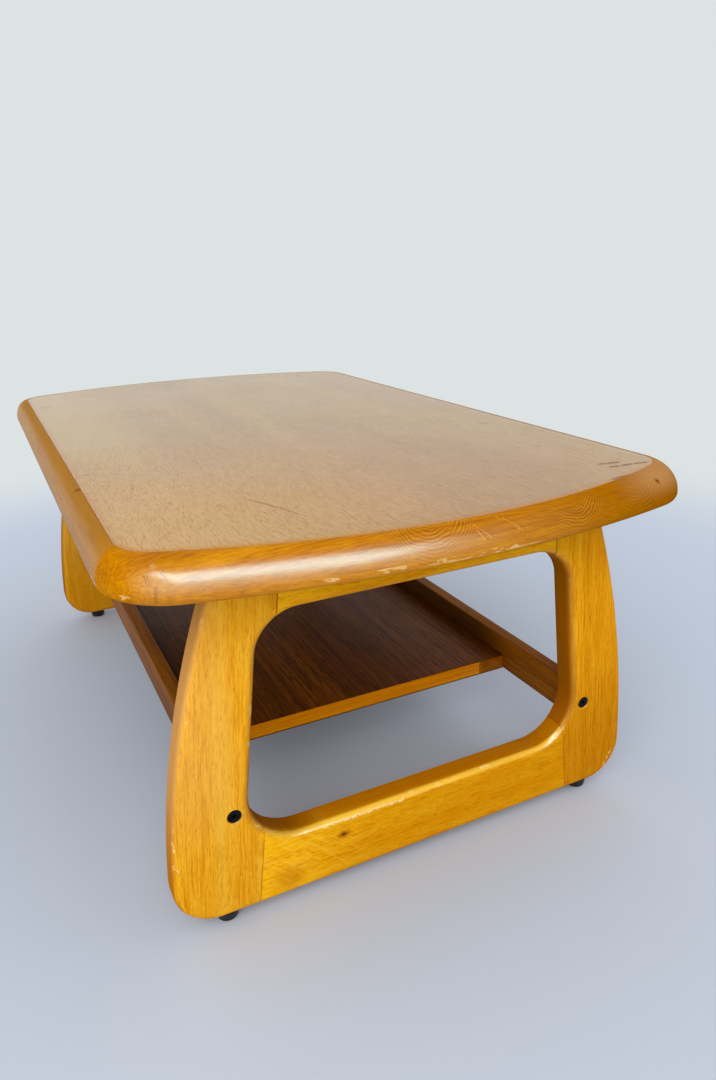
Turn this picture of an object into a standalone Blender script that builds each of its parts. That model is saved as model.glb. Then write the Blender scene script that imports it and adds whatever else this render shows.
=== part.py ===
"""Low center table: a lipped, veneered top on two looped end frames, with a shelf between two rails.

Metres, +Z up. The origin is on the floor under the middle of the top.
+X runs along the table to its right end, and -Y is its front long side.
"""
import math

import bmesh
import bpy
from mathutils import Matrix, Vector

# Top
TABLE_HEIGHT = 0.424
TOP_LENGTH = 1.045
TOP_WIDTH = 0.632
TOP_THICKNESS = 0.036
TOP_END_BOW = 1.10
TOP_CORNER = 0.075
LOWER_ROUND = 0.007
EDGE_RUN_END = 0.0145
EDGE_RUN_SIDE = 0.0203
FIELD_END_BOW = 0.69
FIELD_CORNER = 0.045
LIPPING_LEDGE = 0.012
LIPPING_JOINT_ANGLE = math.radians(75)
VENEER = 0.001

# End frames
END_OVERHANG = 0.0875
SIDE_OVERHANG = 0.0287
FRAME_THICKNESS = 0.034
FRAME_ARRIS = 0.010
LEG_TOP_WIDTH = 0.0557
LEG_BOTTOM_WIDTH = 0.076
LEG_BOW = 1.0
LEG_WIDEST_HEIGHT = 0.020
LEG_CORNER = 0.048
TOP_RAIL_HEIGHT = 0.0505
BOTTOM_RAIL_HEIGHT = 0.076
OPENING_TOP_CORNER = 0.045
OPENING_BOTTOM_CORNER = 0.055
SEAM_INSET = 0.017

# Shelf and its rails
RAIL_SETBACK = 0.0155
RAIL_THICKNESS = 0.018
RAIL_HEIGHT = 0.045
RAIL_AXIS_HEIGHT = 0.131
RAIL_ARRIS = 0.0015
SHELF_END_GAP = 0.115
SHELF_THICKNESS = 0.020
STILE_WIDTH = 0.038
SHELF_LIPPING = 0.014

# Feet
FOOT_HEIGHT = 0.011
FOOT_TOP_DIAMETER = 0.025
FOOT_BASE_DIAMETER = 0.0225
FOOT_ROUND = 0.0025
FOOT_INSET = 0.0553

# Fasteners
BOLT_DIAMETER = 0.006
BOLT_LENGTH = 0.070
BOLT_HEAD_DIAMETER = 0.0135
BOLT_HEAD_HEIGHT = 0.005
BOLT_RECESS = 0.0008
HEX_ACROSS_CORNERS = 0.0046
HEX_DEPTH = 0.003
NUT_DIAMETER = 0.010
NUT_LENGTH = 0.014
NUT_SETBACK = 0.032
DOWEL_DIAMETER = 0.008
DOWEL_LENGTH = 0.030
DOWEL_DROP = 0.0145
DOWEL_CHAMFER = 0.001
SHELF_DOWEL_DIAMETER = 0.006
SHELF_DOWEL_LENGTH = 0.030
SHELF_DOWEL_IN_RAIL = 0.010
SHELF_DOWEL_PITCH = 0.360
TENON_THICKNESS = 0.010
TENON_LENGTH = 0.036
UPPER_TENON_WIDTH = 0.030
LOWER_TENON_WIDTH = 0.045
TOP_SCREW_DIAMETER = 0.0045
TOP_SCREW_HEAD = 0.009
TOP_SCREW_LENGTH = 0.045
TOP_SCREW_COUNTERBORE = 0.022
TOP_SCREW_PITCH = 0.160
FOOT_SCREW_DIAMETER = 0.0035
FOOT_SCREW_HEAD = 0.007
FOOT_SCREW_LENGTH = 0.022
FOOT_SCREW_RECESS = 0.0015

# Fits
GLUE_LINE = 0.0003
HOLE_CLEARANCE = 0.0003
HEAD_CLEARANCE = 0.0007

# Smoothness
ARC_STEPS = 6
BOW_STEPS = 10
ARRIS_STEPS = 2
ROUND_SIDES = 16
SHARP_ANGLE = math.radians(32)
WELD = 1e-6

# Heights and places that follow from the sizes above
TOP_UNDERSIDE = TABLE_HEIGHT - TOP_THICKNESS
FRAME_TOP = TOP_UNDERSIDE - GLUE_LINE
FRAME_BASE = FOOT_HEIGHT
FRAME_WIDTH = TOP_WIDTH - 2 * SIDE_OVERHANG
FRAME_OUTER = TOP_LENGTH / 2 - END_OVERHANG
FRAME_MIDDLE = FRAME_OUTER - FRAME_THICKNESS / 2
FRAME_INNER = FRAME_OUTER - FRAME_THICKNESS
OPENING_TOP = FRAME_TOP - TOP_RAIL_HEIGHT
OPENING_BASE = FRAME_BASE + BOTTOM_RAIL_HEIGHT


def leg_edge(height):
    """The outer edge of a leg at a height, as a distance from the middle of the frame."""
    return FRAME_WIDTH / 2 - LEG_BOW + math.sqrt(LEG_BOW ** 2 - (height - LEG_WIDEST_HEIGHT) ** 2)


OPENING_TOP_HALF = leg_edge(OPENING_TOP) - LEG_TOP_WIDTH
OPENING_BASE_HALF = leg_edge(OPENING_BASE) - LEG_BOTTOM_WIDTH
OPENING_SPLAY = (OPENING_BASE_HALF - OPENING_TOP_HALF) / (OPENING_TOP - OPENING_BASE)


def opening_edge(height):
    """The straight side of the opening at a height, as a distance from the middle of the frame."""
    return OPENING_TOP_HALF + OPENING_SPLAY * (OPENING_TOP - height)


RAIL_Y = opening_edge(RAIL_AXIS_HEIGHT) + RAIL_SETBACK
RAIL_BASE = RAIL_AXIS_HEIGHT - RAIL_HEIGHT / 2
SHELF_LENGTH = 2 * (FRAME_INNER - SHELF_END_GAP)
SHELF_WIDTH = 2 * RAIL_Y - RAIL_THICKNESS - 2 * GLUE_LINE
SHELF_MIDDLE = RAIL_BASE + SHELF_THICKNESS / 2
FOOT_Y = FRAME_WIDTH / 2 - FOOT_INSET

ENDS = {"right": 1, "left": -1}
SIDES = {"front": -1, "back": 1}

WOOD_GOLDEN = ("golden_wood", (0.80, 0.40, 0.04), 0.30, 0.0)
WOOD_LIPPING = ("lipping_wood", (0.60, 0.26, 0.03), 0.28, 0.0)
WOOD_FIELD = ("field_veneer", (0.50, 0.31, 0.13), 0.25, 0.0)
WOOD_BROWN = ("brown_wood", (0.22, 0.09, 0.03), 0.40, 0.0)
WOOD_DARK = ("dark_veneer", (0.09, 0.035, 0.012), 0.40, 0.0)
WOOD_CORE = ("core_board", (0.55, 0.42, 0.27), 0.80, 0.0)
WOOD_DOWEL = ("dowel_wood", (0.70, 0.52, 0.30), 0.60, 0.0)
BLACK_STEEL = ("black_steel", (0.015, 0.015, 0.016), 0.40, 0.9)
ZINC_STEEL = ("zinc_steel", (0.60, 0.60, 0.58), 0.35, 1.0)
BLACK_PLASTIC = ("black_plastic", (0.012, 0.012, 0.013), 0.50, 0.0)

for old in list(bpy.data.objects):
    bpy.data.objects.remove(old, do_unlink=True)


def collection(name):
    """A new collection in the scene."""
    made = bpy.data.collections.new(name)
    bpy.context.scene.collection.children.link(made)
    return made


PARTS = collection("center_table")
CUTTERS = collection("cutters")


def material(finish):
    """The material of a finish, made on first use."""
    name, colour, roughness, metallic = finish
    made = bpy.data.materials.get(name)
    if made is None:
        made = bpy.data.materials.new(name)
        made.use_nodes = True
        shader = made.node_tree.nodes["Principled BSDF"]
        shader.inputs["Base Color"].default_value = (*colour, 1.0)
        shader.inputs["Roughness"].default_value = roughness
        shader.inputs["Metallic"].default_value = metallic
    return made


def part(name, mesh, finish, place=(0.0, 0.0, 0.0)):
    """A finished piece at a point, or at a matrix where it is also turned."""
    mesh.materials.clear()
    mesh.materials.append(material(finish))
    mesh.shade_smooth()
    mesh.set_sharp_from_angle(angle=SHARP_ANGLE)
    made = bpy.data.objects.new(name, mesh)
    made.matrix_world = place if isinstance(place, Matrix) else Matrix.Translation(place)
    PARTS.objects.link(made)
    return made


def cutter(name, mesh, place):
    """A shape that only cuts others."""
    made = bpy.data.objects.new(name, mesh)
    made.matrix_world = place
    made.hide_render = True
    made.display_type = "WIRE"
    CUTTERS.objects.link(made)
    return made


def bore(piece, *tools):
    """Cut the tools out of the piece."""
    for tool in tools:
        cut = piece.modifiers.new(tool.name, "BOOLEAN")
        cut.operation = "DIFFERENCE"
        cut.solver = "EXACT"
        cut.object = tool


def baked(made):
    """The evaluated mesh of an object, welded, with the object itself removed."""
    bpy.context.view_layer.update()
    graph = bpy.context.evaluated_depsgraph_get()
    mesh = bpy.data.meshes.new_from_object(made.evaluated_get(graph))
    bpy.data.objects.remove(made, do_unlink=True)
    shape = bmesh.new()
    shape.from_mesh(mesh)
    bmesh.ops.remove_doubles(shape, verts=shape.verts, dist=WELD)
    bmesh.ops.recalc_face_normals(shape, faces=shape.faces)
    shape.to_mesh(mesh)
    shape.free()
    return mesh


def arc(centre_x, centre_y, radius, start, end, steps):
    """Points of an arc from one angle to another, both ends included."""
    turns = [start + (end - start) * step / steps for step in range(steps + 1)]
    return [(centre_x + radius * math.cos(turn), centre_y + radius * math.sin(turn)) for turn in turns]


def outline_mesh(outline, thickness, holes=(), arris=0.0):
    """A flat outline of a given thickness about its own plane, with rounded arrises."""
    curve = bpy.data.curves.new("outline", "CURVE")
    curve.dimensions = "2D"
    curve.fill_mode = "BOTH"
    curve.extrude = thickness / 2 - arris
    curve.bevel_depth = arris
    curve.bevel_resolution = ARRIS_STEPS
    curve.offset = -arris
    for points in (outline, *holes):
        spline = curve.splines.new("POLY")
        spline.points.add(len(points) - 1)
        spline.use_cyclic_u = True
        for knot, (x, y) in zip(spline.points, points):
            knot.co = (x, y, 0.0, 1.0)
    made = bpy.data.objects.new("outline", curve)
    CUTTERS.objects.link(made)
    return baked(made)


def turned_mesh(profile):
    """A solid of revolution about Z from (radius, height) points, listed top to bottom."""
    mesh = bpy.data.meshes.new("turned")
    knots = [(radius, 0.0, height) for radius, height in profile]
    links = [(index, index + 1) for index in range(len(knots) - 1)]
    if profile[0][0] > 0.0:
        links.append((len(knots) - 1, 0))
    mesh.from_pydata(knots, links, [])
    made = bpy.data.objects.new("turned", mesh)
    CUTTERS.objects.link(made)
    screw = made.modifiers.new("turn", "SCREW")
    screw.steps = ROUND_SIDES
    screw.render_steps = ROUND_SIDES
    screw.use_merge_vertices = True
    screw.merge_threshold = WELD
    return baked(made)


def box_mesh(size, arris=0.0):
    """A box about the origin, with its lengthwise edges eased by the arris."""
    shape = bmesh.new()
    bmesh.ops.create_cube(shape, size=1.0)
    bmesh.ops.scale(shape, vec=size, verts=shape.verts)
    if arris:
        lengthwise = [edge for edge in shape.edges if abs(edge.verts[0].co.x - edge.verts[1].co.x) > WELD]
        bmesh.ops.bevel(shape, geom=lengthwise, offset=arris, segments=ARRIS_STEPS, profile=0.5,
                        affect="EDGES")
    mesh = bpy.data.meshes.new("box")
    shape.to_mesh(mesh)
    shape.free()
    return mesh


def trimmed(mesh, planes):
    """A copy of the mesh with all that lies in front of each (point, normal) plane cut away."""
    shape = bmesh.new()
    shape.from_mesh(mesh)
    for point, normal in planes:
        everything = [*shape.verts, *shape.edges, *shape.faces]
        bmesh.ops.bisect_plane(shape, geom=everything, dist=WELD, plane_co=point, plane_no=normal,
                               clear_outer=True)
        rim = [edge for edge in shape.edges if edge.is_boundary]
        if rim:
            bmesh.ops.holes_fill(shape, edges=rim, sides=0)
    bmesh.ops.recalc_face_normals(shape, faces=shape.faces)
    made = bpy.data.meshes.new("trimmed")
    shape.to_mesh(made)
    shape.free()
    return made


def along(direction, point):
    """The place of a turned solid whose top points in a direction."""
    turn = Vector(direction).to_track_quat("Z", "Y").to_matrix().to_4x4()
    return Matrix.Translation(point) @ turn


# The top
class Barrel:
    """A rectangle with straight sides, bowed ends and round corners, centred on the origin."""

    def __init__(self, length, width, bow, corner):
        self.length = length
        self.width = width
        self.bow = bow
        self.corner = corner
        self.bow_centre = length / 2 - bow
        self.corner_y = width / 2 - corner
        reach = math.sqrt((bow - corner) ** 2 - self.corner_y ** 2)
        self.corner_x = self.bow_centre + reach
        self.start = math.atan2(self.corner_y, reach)
        self.joint = LIPPING_JOINT_ANGLE

    def inset(self, margin):
        """The parallel outline a margin further in."""
        return Barrel(self.length - 2 * margin, self.width - 2 * margin,
                      self.bow - margin, self.corner - margin)

    def join_along(self, inner):
        """Set the corner joint where the line of the inner outline's joint meets this outline."""
        ray = Vector((math.cos(inner.joint), math.sin(inner.joint)))
        away = Vector((self.corner_x - inner.corner_x, self.corner_y - inner.corner_y))
        reach = ray.dot(away) + math.sqrt(ray.dot(away) ** 2 - away.length_squared + self.corner ** 2)
        meet = ray * reach - away
        self.joint = math.atan2(meet.y, meet.x)

    def end(self):
        """The right end, from its front joint to its back joint."""
        front = arc(self.corner_x, -self.corner_y, self.corner, -self.joint, -self.start, ARC_STEPS)
        bowed = arc(self.bow_centre, 0.0, self.bow, -self.start, self.start, BOW_STEPS)
        back = arc(self.corner_x, self.corner_y, self.corner, self.start, self.joint, ARC_STEPS)
        return front + bowed[1:-1] + back

    def side(self):
        """The back side, from its right joint to its left joint."""
        right = arc(self.corner_x, self.corner_y, self.corner, self.joint, math.pi / 2, ARC_STEPS)
        left = arc(-self.corner_x, self.corner_y, self.corner, math.pi / 2, math.pi - self.joint, ARC_STEPS)
        return right + left

    def outline(self):
        """The whole outline, once round."""
        half = self.end()[:-1] + self.side()[:-1]
        return half + [(-x, -y) for x, y in half]


RIM = Barrel(TOP_LENGTH, TOP_WIDTH, TOP_END_BOW, TOP_CORNER)
FIELD = Barrel(TOP_LENGTH - 2 * EDGE_RUN_END, TOP_WIDTH - 2 * EDGE_RUN_SIDE, FIELD_END_BOW, FIELD_CORNER)
CORE = FIELD.inset(LIPPING_LEDGE)
RIM.join_along(FIELD)


def lipping_section(core, field, rim):
    """One section of the lipping: ledge under the veneer, wide upper round, small lower round."""
    ledge = TABLE_HEIGHT - VENEER - GLUE_LINE
    waist = TOP_UNDERSIDE + LOWER_ROUND
    drop = TABLE_HEIGHT - waist
    inward = (field - rim).normalized()
    section = [core.to_3d() + Vector((0.0, 0.0, height)) for height in (TOP_UNDERSIDE, ledge)]
    section += [field.to_3d() + Vector((0.0, 0.0, ledge))]
    for sweep, rise in arc(0.0, 0.0, 1.0, math.pi / 2, 0.0, ARC_STEPS):
        section.append(field.lerp(rim, sweep).to_3d() + Vector((0.0, 0.0, waist + drop * rise)))
    for sweep, fall in arc(0.0, 0.0, LOWER_ROUND, 0.0, math.pi / 2, ARC_STEPS // 2)[1:]:
        edge = rim + inward * (LOWER_ROUND - sweep)
        section.append(edge.to_3d() + Vector((0.0, 0.0, waist - fall)))
    return section


def lipping_mesh(core, field, rim):
    """A lipping lofted through its sections, cut back at both joints by half a glue line."""
    stations = [[Vector(point) for point in points] for points in zip(core, field, rim)]
    for tip, neighbour in ((0, 1), (-1, -2)):
        joint = stations[tip][2] - stations[tip][1]
        square = Vector((-joint.y, joint.x)).normalized()
        if square.dot(stations[neighbour][2] - stations[tip][2]) < 0.0:
            square.negate()
        stations[tip] = [point + square * GLUE_LINE / 2 for point in stations[tip]]
    shape = bmesh.new()
    rings = [[shape.verts.new(point) for point in lipping_section(*station)] for station in stations]
    for ring, following in zip(rings, rings[1:]):
        for index in range(len(ring)):
            shape.faces.new((ring[index - 1], ring[index], following[index], following[index - 1]))
    shape.faces.new(rings[0])
    shape.faces.new(rings[-1])
    bmesh.ops.recalc_face_normals(shape, faces=shape.faces)
    mesh = bpy.data.meshes.new("lipping")
    shape.to_mesh(mesh)
    shape.free()
    return mesh


def build_top():
    """Core board, two veneers and four lippings."""
    core_base = TOP_UNDERSIDE + VENEER + GLUE_LINE
    core_top = TABLE_HEIGHT - VENEER - GLUE_LINE
    glued_core = CORE.inset(GLUE_LINE).outline()
    core = outline_mesh(glued_core, core_top - core_base)
    face = outline_mesh(FIELD.inset(GLUE_LINE).outline(), VENEER)
    backing = outline_mesh(glued_core, VENEER)
    board = part("top_core", core, WOOD_CORE, (0.0, 0.0, (core_base + core_top) / 2))
    part("top_face_veneer", face, WOOD_FIELD, (0.0, 0.0, TABLE_HEIGHT - VENEER / 2))
    sheet = part("top_backing_veneer", backing, WOOD_BROWN, (0.0, 0.0, TOP_UNDERSIDE + VENEER / 2))
    half_turn = Matrix.Rotation(math.pi, 4, "Z")
    edges = [(loop.end(), loop.side()) for loop in (CORE, FIELD, RIM)]
    right, back = [lipping_mesh(*loops) for loops in zip(*edges)]
    for mesh, name, opposite in ((right, "right", "left"), (back, "back", "front")):
        part(f"top_lipping_{name}", mesh, WOOD_LIPPING)
        part(f"top_lipping_{opposite}", mesh, WOOD_LIPPING, half_turn)
    return board, sheet


# The end frames
def rounded_corner(before, corner, after, radius):
    """Points of an arc that rounds one corner of a polygon."""
    corner = Vector(corner)
    back = (Vector(before) - corner).normalized()
    ahead = (Vector(after) - corner).normalized()
    half = back.angle(ahead) / 2
    centre = corner + (back + ahead).normalized() * radius / math.sin(half)
    first = corner + back * radius / math.tan(half) - centre
    last = corner + ahead * radius / math.tan(half) - centre
    start = math.atan2(first.y, first.x)
    turn = math.remainder(math.atan2(last.y, last.x) - start, 2 * math.pi)
    return arc(centre.x, centre.y, radius, start, start + turn, ARC_STEPS)


def frame_outline():
    """The loop's outer edge in (y, z), carried past the top so that its upper edge can be cut square."""
    bow_centre = FRAME_WIDTH / 2 - LEG_BOW
    drop = FRAME_BASE + LEG_CORNER - LEG_WIDEST_HEIGHT
    reach = math.sqrt((LEG_BOW - LEG_CORNER) ** 2 - drop ** 2)
    start = math.atan2(drop, reach)
    upper = math.asin((FRAME_TOP + 2 * FRAME_ARRIS - LEG_WIDEST_HEIGHT) / LEG_BOW)
    corner = arc(bow_centre + reach, FRAME_BASE + LEG_CORNER, LEG_CORNER, -math.pi / 2, start, ARC_STEPS)
    bowed = arc(bow_centre, LEG_WIDEST_HEIGHT, LEG_BOW, start, upper, BOW_STEPS)
    half = corner + bowed[1:]
    return half + [(-y, z) for y, z in reversed(half)]


def opening_outline():
    """The loop's opening in (y, z): a splayed four-sided figure with round corners."""
    corners = [(OPENING_BASE_HALF, OPENING_BASE), (OPENING_TOP_HALF, OPENING_TOP),
               (-OPENING_TOP_HALF, OPENING_TOP), (-OPENING_BASE_HALF, OPENING_BASE)]
    radii = (OPENING_BOTTOM_CORNER, OPENING_TOP_CORNER, OPENING_TOP_CORNER, OPENING_BOTTOM_CORNER)
    points = []
    for index, radius in enumerate(radii):
        points += rounded_corner(corners[index - 1], corners[index], corners[(index + 1) % 4], radius)
    return points[::-1]


def seam_point(side, height):
    """A point of the joint line between a leg and the rails, in (y, z)."""
    return Vector((side * (opening_edge(height) - SEAM_INSET), height))


def seam_normal(side):
    """The direction square to the joint line, out towards the leg, in (y, z)."""
    return Vector((side, OPENING_SPLAY)).normalized()


def build_frames():
    """Two looped end frames, each of two legs and two rails."""
    blank = outline_mesh(frame_outline(), FRAME_THICKNESS, [opening_outline()], FRAME_ARRIS)
    blank.transform(Matrix(((0, 0, 1, 0), (1, 0, 0, 0), (0, 1, 0, 0), (0, 0, 0, 1))))
    square_top = (Vector((0.0, 0.0, FRAME_TOP)), Vector((0.0, 0.0, 1.0)))
    halfway = Vector((0.0, 0.0, (OPENING_TOP + OPENING_BASE) / 2))

    def seam(side, towards_leg):
        normal = seam_normal(side)
        shift = GLUE_LINE / 2 * (1 if towards_leg else -1)
        point = seam_point(side, OPENING_TOP) + normal * shift
        facing = -normal if towards_leg else normal
        return Vector((0.0, *point)), Vector((0.0, *facing))

    rails = [seam(side, False) for side in SIDES.values()]
    pieces = {f"{name}_leg": trimmed(blank, [square_top, seam(side, True)]) for name, side in SIDES.items()}
    pieces["top_rail"] = trimmed(blank, [square_top, *rails, (halfway, Vector((0.0, 0.0, -1.0)))])
    pieces["bottom_rail"] = trimmed(blank, [*rails, (halfway, Vector((0.0, 0.0, 1.0)))])
    made = {}
    for end, sign in ENDS.items():
        for name, mesh in pieces.items():
            place = (sign * FRAME_MIDDLE, 0.0, 0.0)
            made[f"{end}_{name}"] = part(f"{end}_{name}", mesh.copy(), WOOD_GOLDEN, place)
    return made


# The shelf
def build_shelf():
    """Two long rails and a flush panel of core, stiles, end lippings and two veneers between them."""
    made = {}
    rail = box_mesh((2 * (FRAME_INNER - GLUE_LINE), RAIL_THICKNESS, RAIL_HEIGHT), RAIL_ARRIS)
    inner_thickness = SHELF_THICKNESS - 2 * (VENEER + GLUE_LINE)
    stile = box_mesh((SHELF_LENGTH, STILE_WIDTH, inner_thickness))
    stile_y = SHELF_WIDTH / 2 - STILE_WIDTH / 2
    for name, side in SIDES.items():
        place = (0.0, side * RAIL_Y, RAIL_AXIS_HEIGHT)
        made[f"{name}_rail"] = part(f"{name}_shelf_rail", rail.copy(), WOOD_BROWN, place)
        place = (0.0, side * stile_y, SHELF_MIDDLE)
        made[f"{name}_stile"] = part(f"shelf_{name}_stile", stile.copy(), WOOD_BROWN, place)
    inside_width = SHELF_WIDTH - 2 * (STILE_WIDTH + GLUE_LINE)
    lipping = box_mesh((SHELF_LIPPING, inside_width, inner_thickness))
    for name, sign in ENDS.items():
        place = (sign * (SHELF_LENGTH - SHELF_LIPPING) / 2, 0.0, SHELF_MIDDLE)
        part(f"shelf_{name}_lipping", lipping.copy(), WOOD_LIPPING, place)
    core_length = SHELF_LENGTH - 2 * (SHELF_LIPPING + GLUE_LINE)
    part("shelf_core", box_mesh((core_length, inside_width, inner_thickness)), WOOD_CORE,
         (0.0, 0.0, SHELF_MIDDLE))
    veneer = box_mesh((SHELF_LENGTH, SHELF_WIDTH, VENEER))
    for name, sign in (("face", 1), ("backing", -1)):
        place = (0.0, 0.0, SHELF_MIDDLE + sign * (SHELF_THICKNESS - VENEER) / 2)
        part(f"shelf_{name}_veneer", veneer.copy(), WOOD_DARK, place)
    return made


# The joints at each corner: every hole is cut by a wider twin of the piece that goes in it
def dowel_mesh(diameter, length, clearance=0.0):
    """A dowel about its middle, chamfered at both ends."""
    radius = diameter / 2 + clearance
    half = length / 2 + clearance
    return turned_mesh([(0.0, half), (radius - DOWEL_CHAMFER, half), (radius, half - DOWEL_CHAMFER),
                        (radius, DOWEL_CHAMFER - half), (radius - DOWEL_CHAMFER, -half), (0.0, -half)])


def tenon_mesh(width, clearance=0.0):
    """A loose tenon about its middle, with round edges."""
    spare = 2 * clearance
    thickness = TENON_THICKNESS + spare
    return box_mesh((TENON_LENGTH + spare, width + spare, thickness), thickness / 2 - WELD)


def screw_mesh(head_diameter, diameter, length, clearance=0.0, lead=0.0):
    """A countersunk screw that points down from its head's face; its hole also opens upwards by the lead."""
    head = head_diameter / 2 + clearance
    shank = diameter / 2 + clearance
    tip = -length - clearance
    mouth = [(0.0, lead), (head, lead)] if lead else [(0.0, 0.0)]
    return turned_mesh([*mouth, (head, 0.0), (shank, shank - head), (shank, tip + diameter), (0.0, tip)])


def bolt_mesh():
    """A connector bolt with a hexagon socket, pointing down from its head's face."""
    head = BOLT_HEAD_DIAMETER / 2
    shank = BOLT_DIAMETER / 2
    tip = -BOLT_HEAD_HEIGHT - BOLT_LENGTH
    turned = turned_mesh([(0.0, 0.0), (head, 0.0), (head, -BOLT_HEAD_HEIGHT), (shank, -BOLT_HEAD_HEIGHT),
                          (shank, tip), (0.0, tip)])
    shape = bmesh.new()
    bmesh.ops.create_cone(shape, cap_ends=True, segments=6, radius1=HEX_ACROSS_CORNERS / 2,
                          radius2=HEX_ACROSS_CORNERS / 2, depth=2 * HEX_DEPTH)
    socket = bpy.data.meshes.new("socket")
    shape.to_mesh(socket)
    shape.free()
    bolt = bpy.data.objects.new("bolt", turned)
    CUTTERS.objects.link(bolt)
    bore(bolt, cutter("hex_socket", socket, Matrix.Identity(4)))
    return baked(bolt)


def bolt_hole_mesh():
    """The bolt's drilled hole and the counterbore for its head."""
    mouth = BOLT_RECESS + FRAME_ARRIS
    seat = -BOLT_HEAD_HEIGHT - GLUE_LINE
    wide = BOLT_HEAD_DIAMETER / 2 + HEAD_CLEARANCE
    narrow = BOLT_DIAMETER / 2 + HOLE_CLEARANCE
    bottom = -BOLT_HEAD_HEIGHT - BOLT_LENGTH - HOLE_CLEARANCE
    return turned_mesh([(0.0, mouth), (wide, mouth), (wide, seat), (narrow, seat), (narrow, bottom),
                        (0.0, bottom)])


def pin_mesh(diameter, top, base):
    """A plain cylinder between two heights."""
    radius = diameter / 2
    return turned_mesh([(0.0, top), (radius, top), (radius, base), (0.0, base)])


def foot_mesh():
    """A tapered round foot with a countersunk hole."""
    top = FOOT_HEIGHT - GLUE_LINE
    base = FOOT_BASE_DIAMETER / 2
    rim = arc(base - FOOT_ROUND, FOOT_ROUND, FOOT_ROUND, 0.0, -math.pi / 2, ARC_STEPS // 2)
    head = FOOT_SCREW_HEAD / 2 + HOLE_CLEARANCE
    shank = FOOT_SCREW_DIAMETER / 2 + HOLE_CLEARANCE
    return turned_mesh([(shank, top), (FOOT_TOP_DIAMETER / 2, top), *rim, (head, 0.0),
                        (head, FOOT_SCREW_RECESS), (shank, FOOT_SCREW_RECESS + head - shank)])


def across_seam(sign, side, height):
    """The place of a loose tenon, lengthwise across the joint between a leg and a rail."""
    length = Vector((0.0, *seam_normal(side)))
    thickness = Vector((1.0, 0.0, 0.0))
    axes = Matrix((length, thickness.cross(length), thickness)).transposed().to_4x4()
    return Matrix.Translation((sign * FRAME_MIDDLE, *seam_point(side, height))) @ axes


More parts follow.
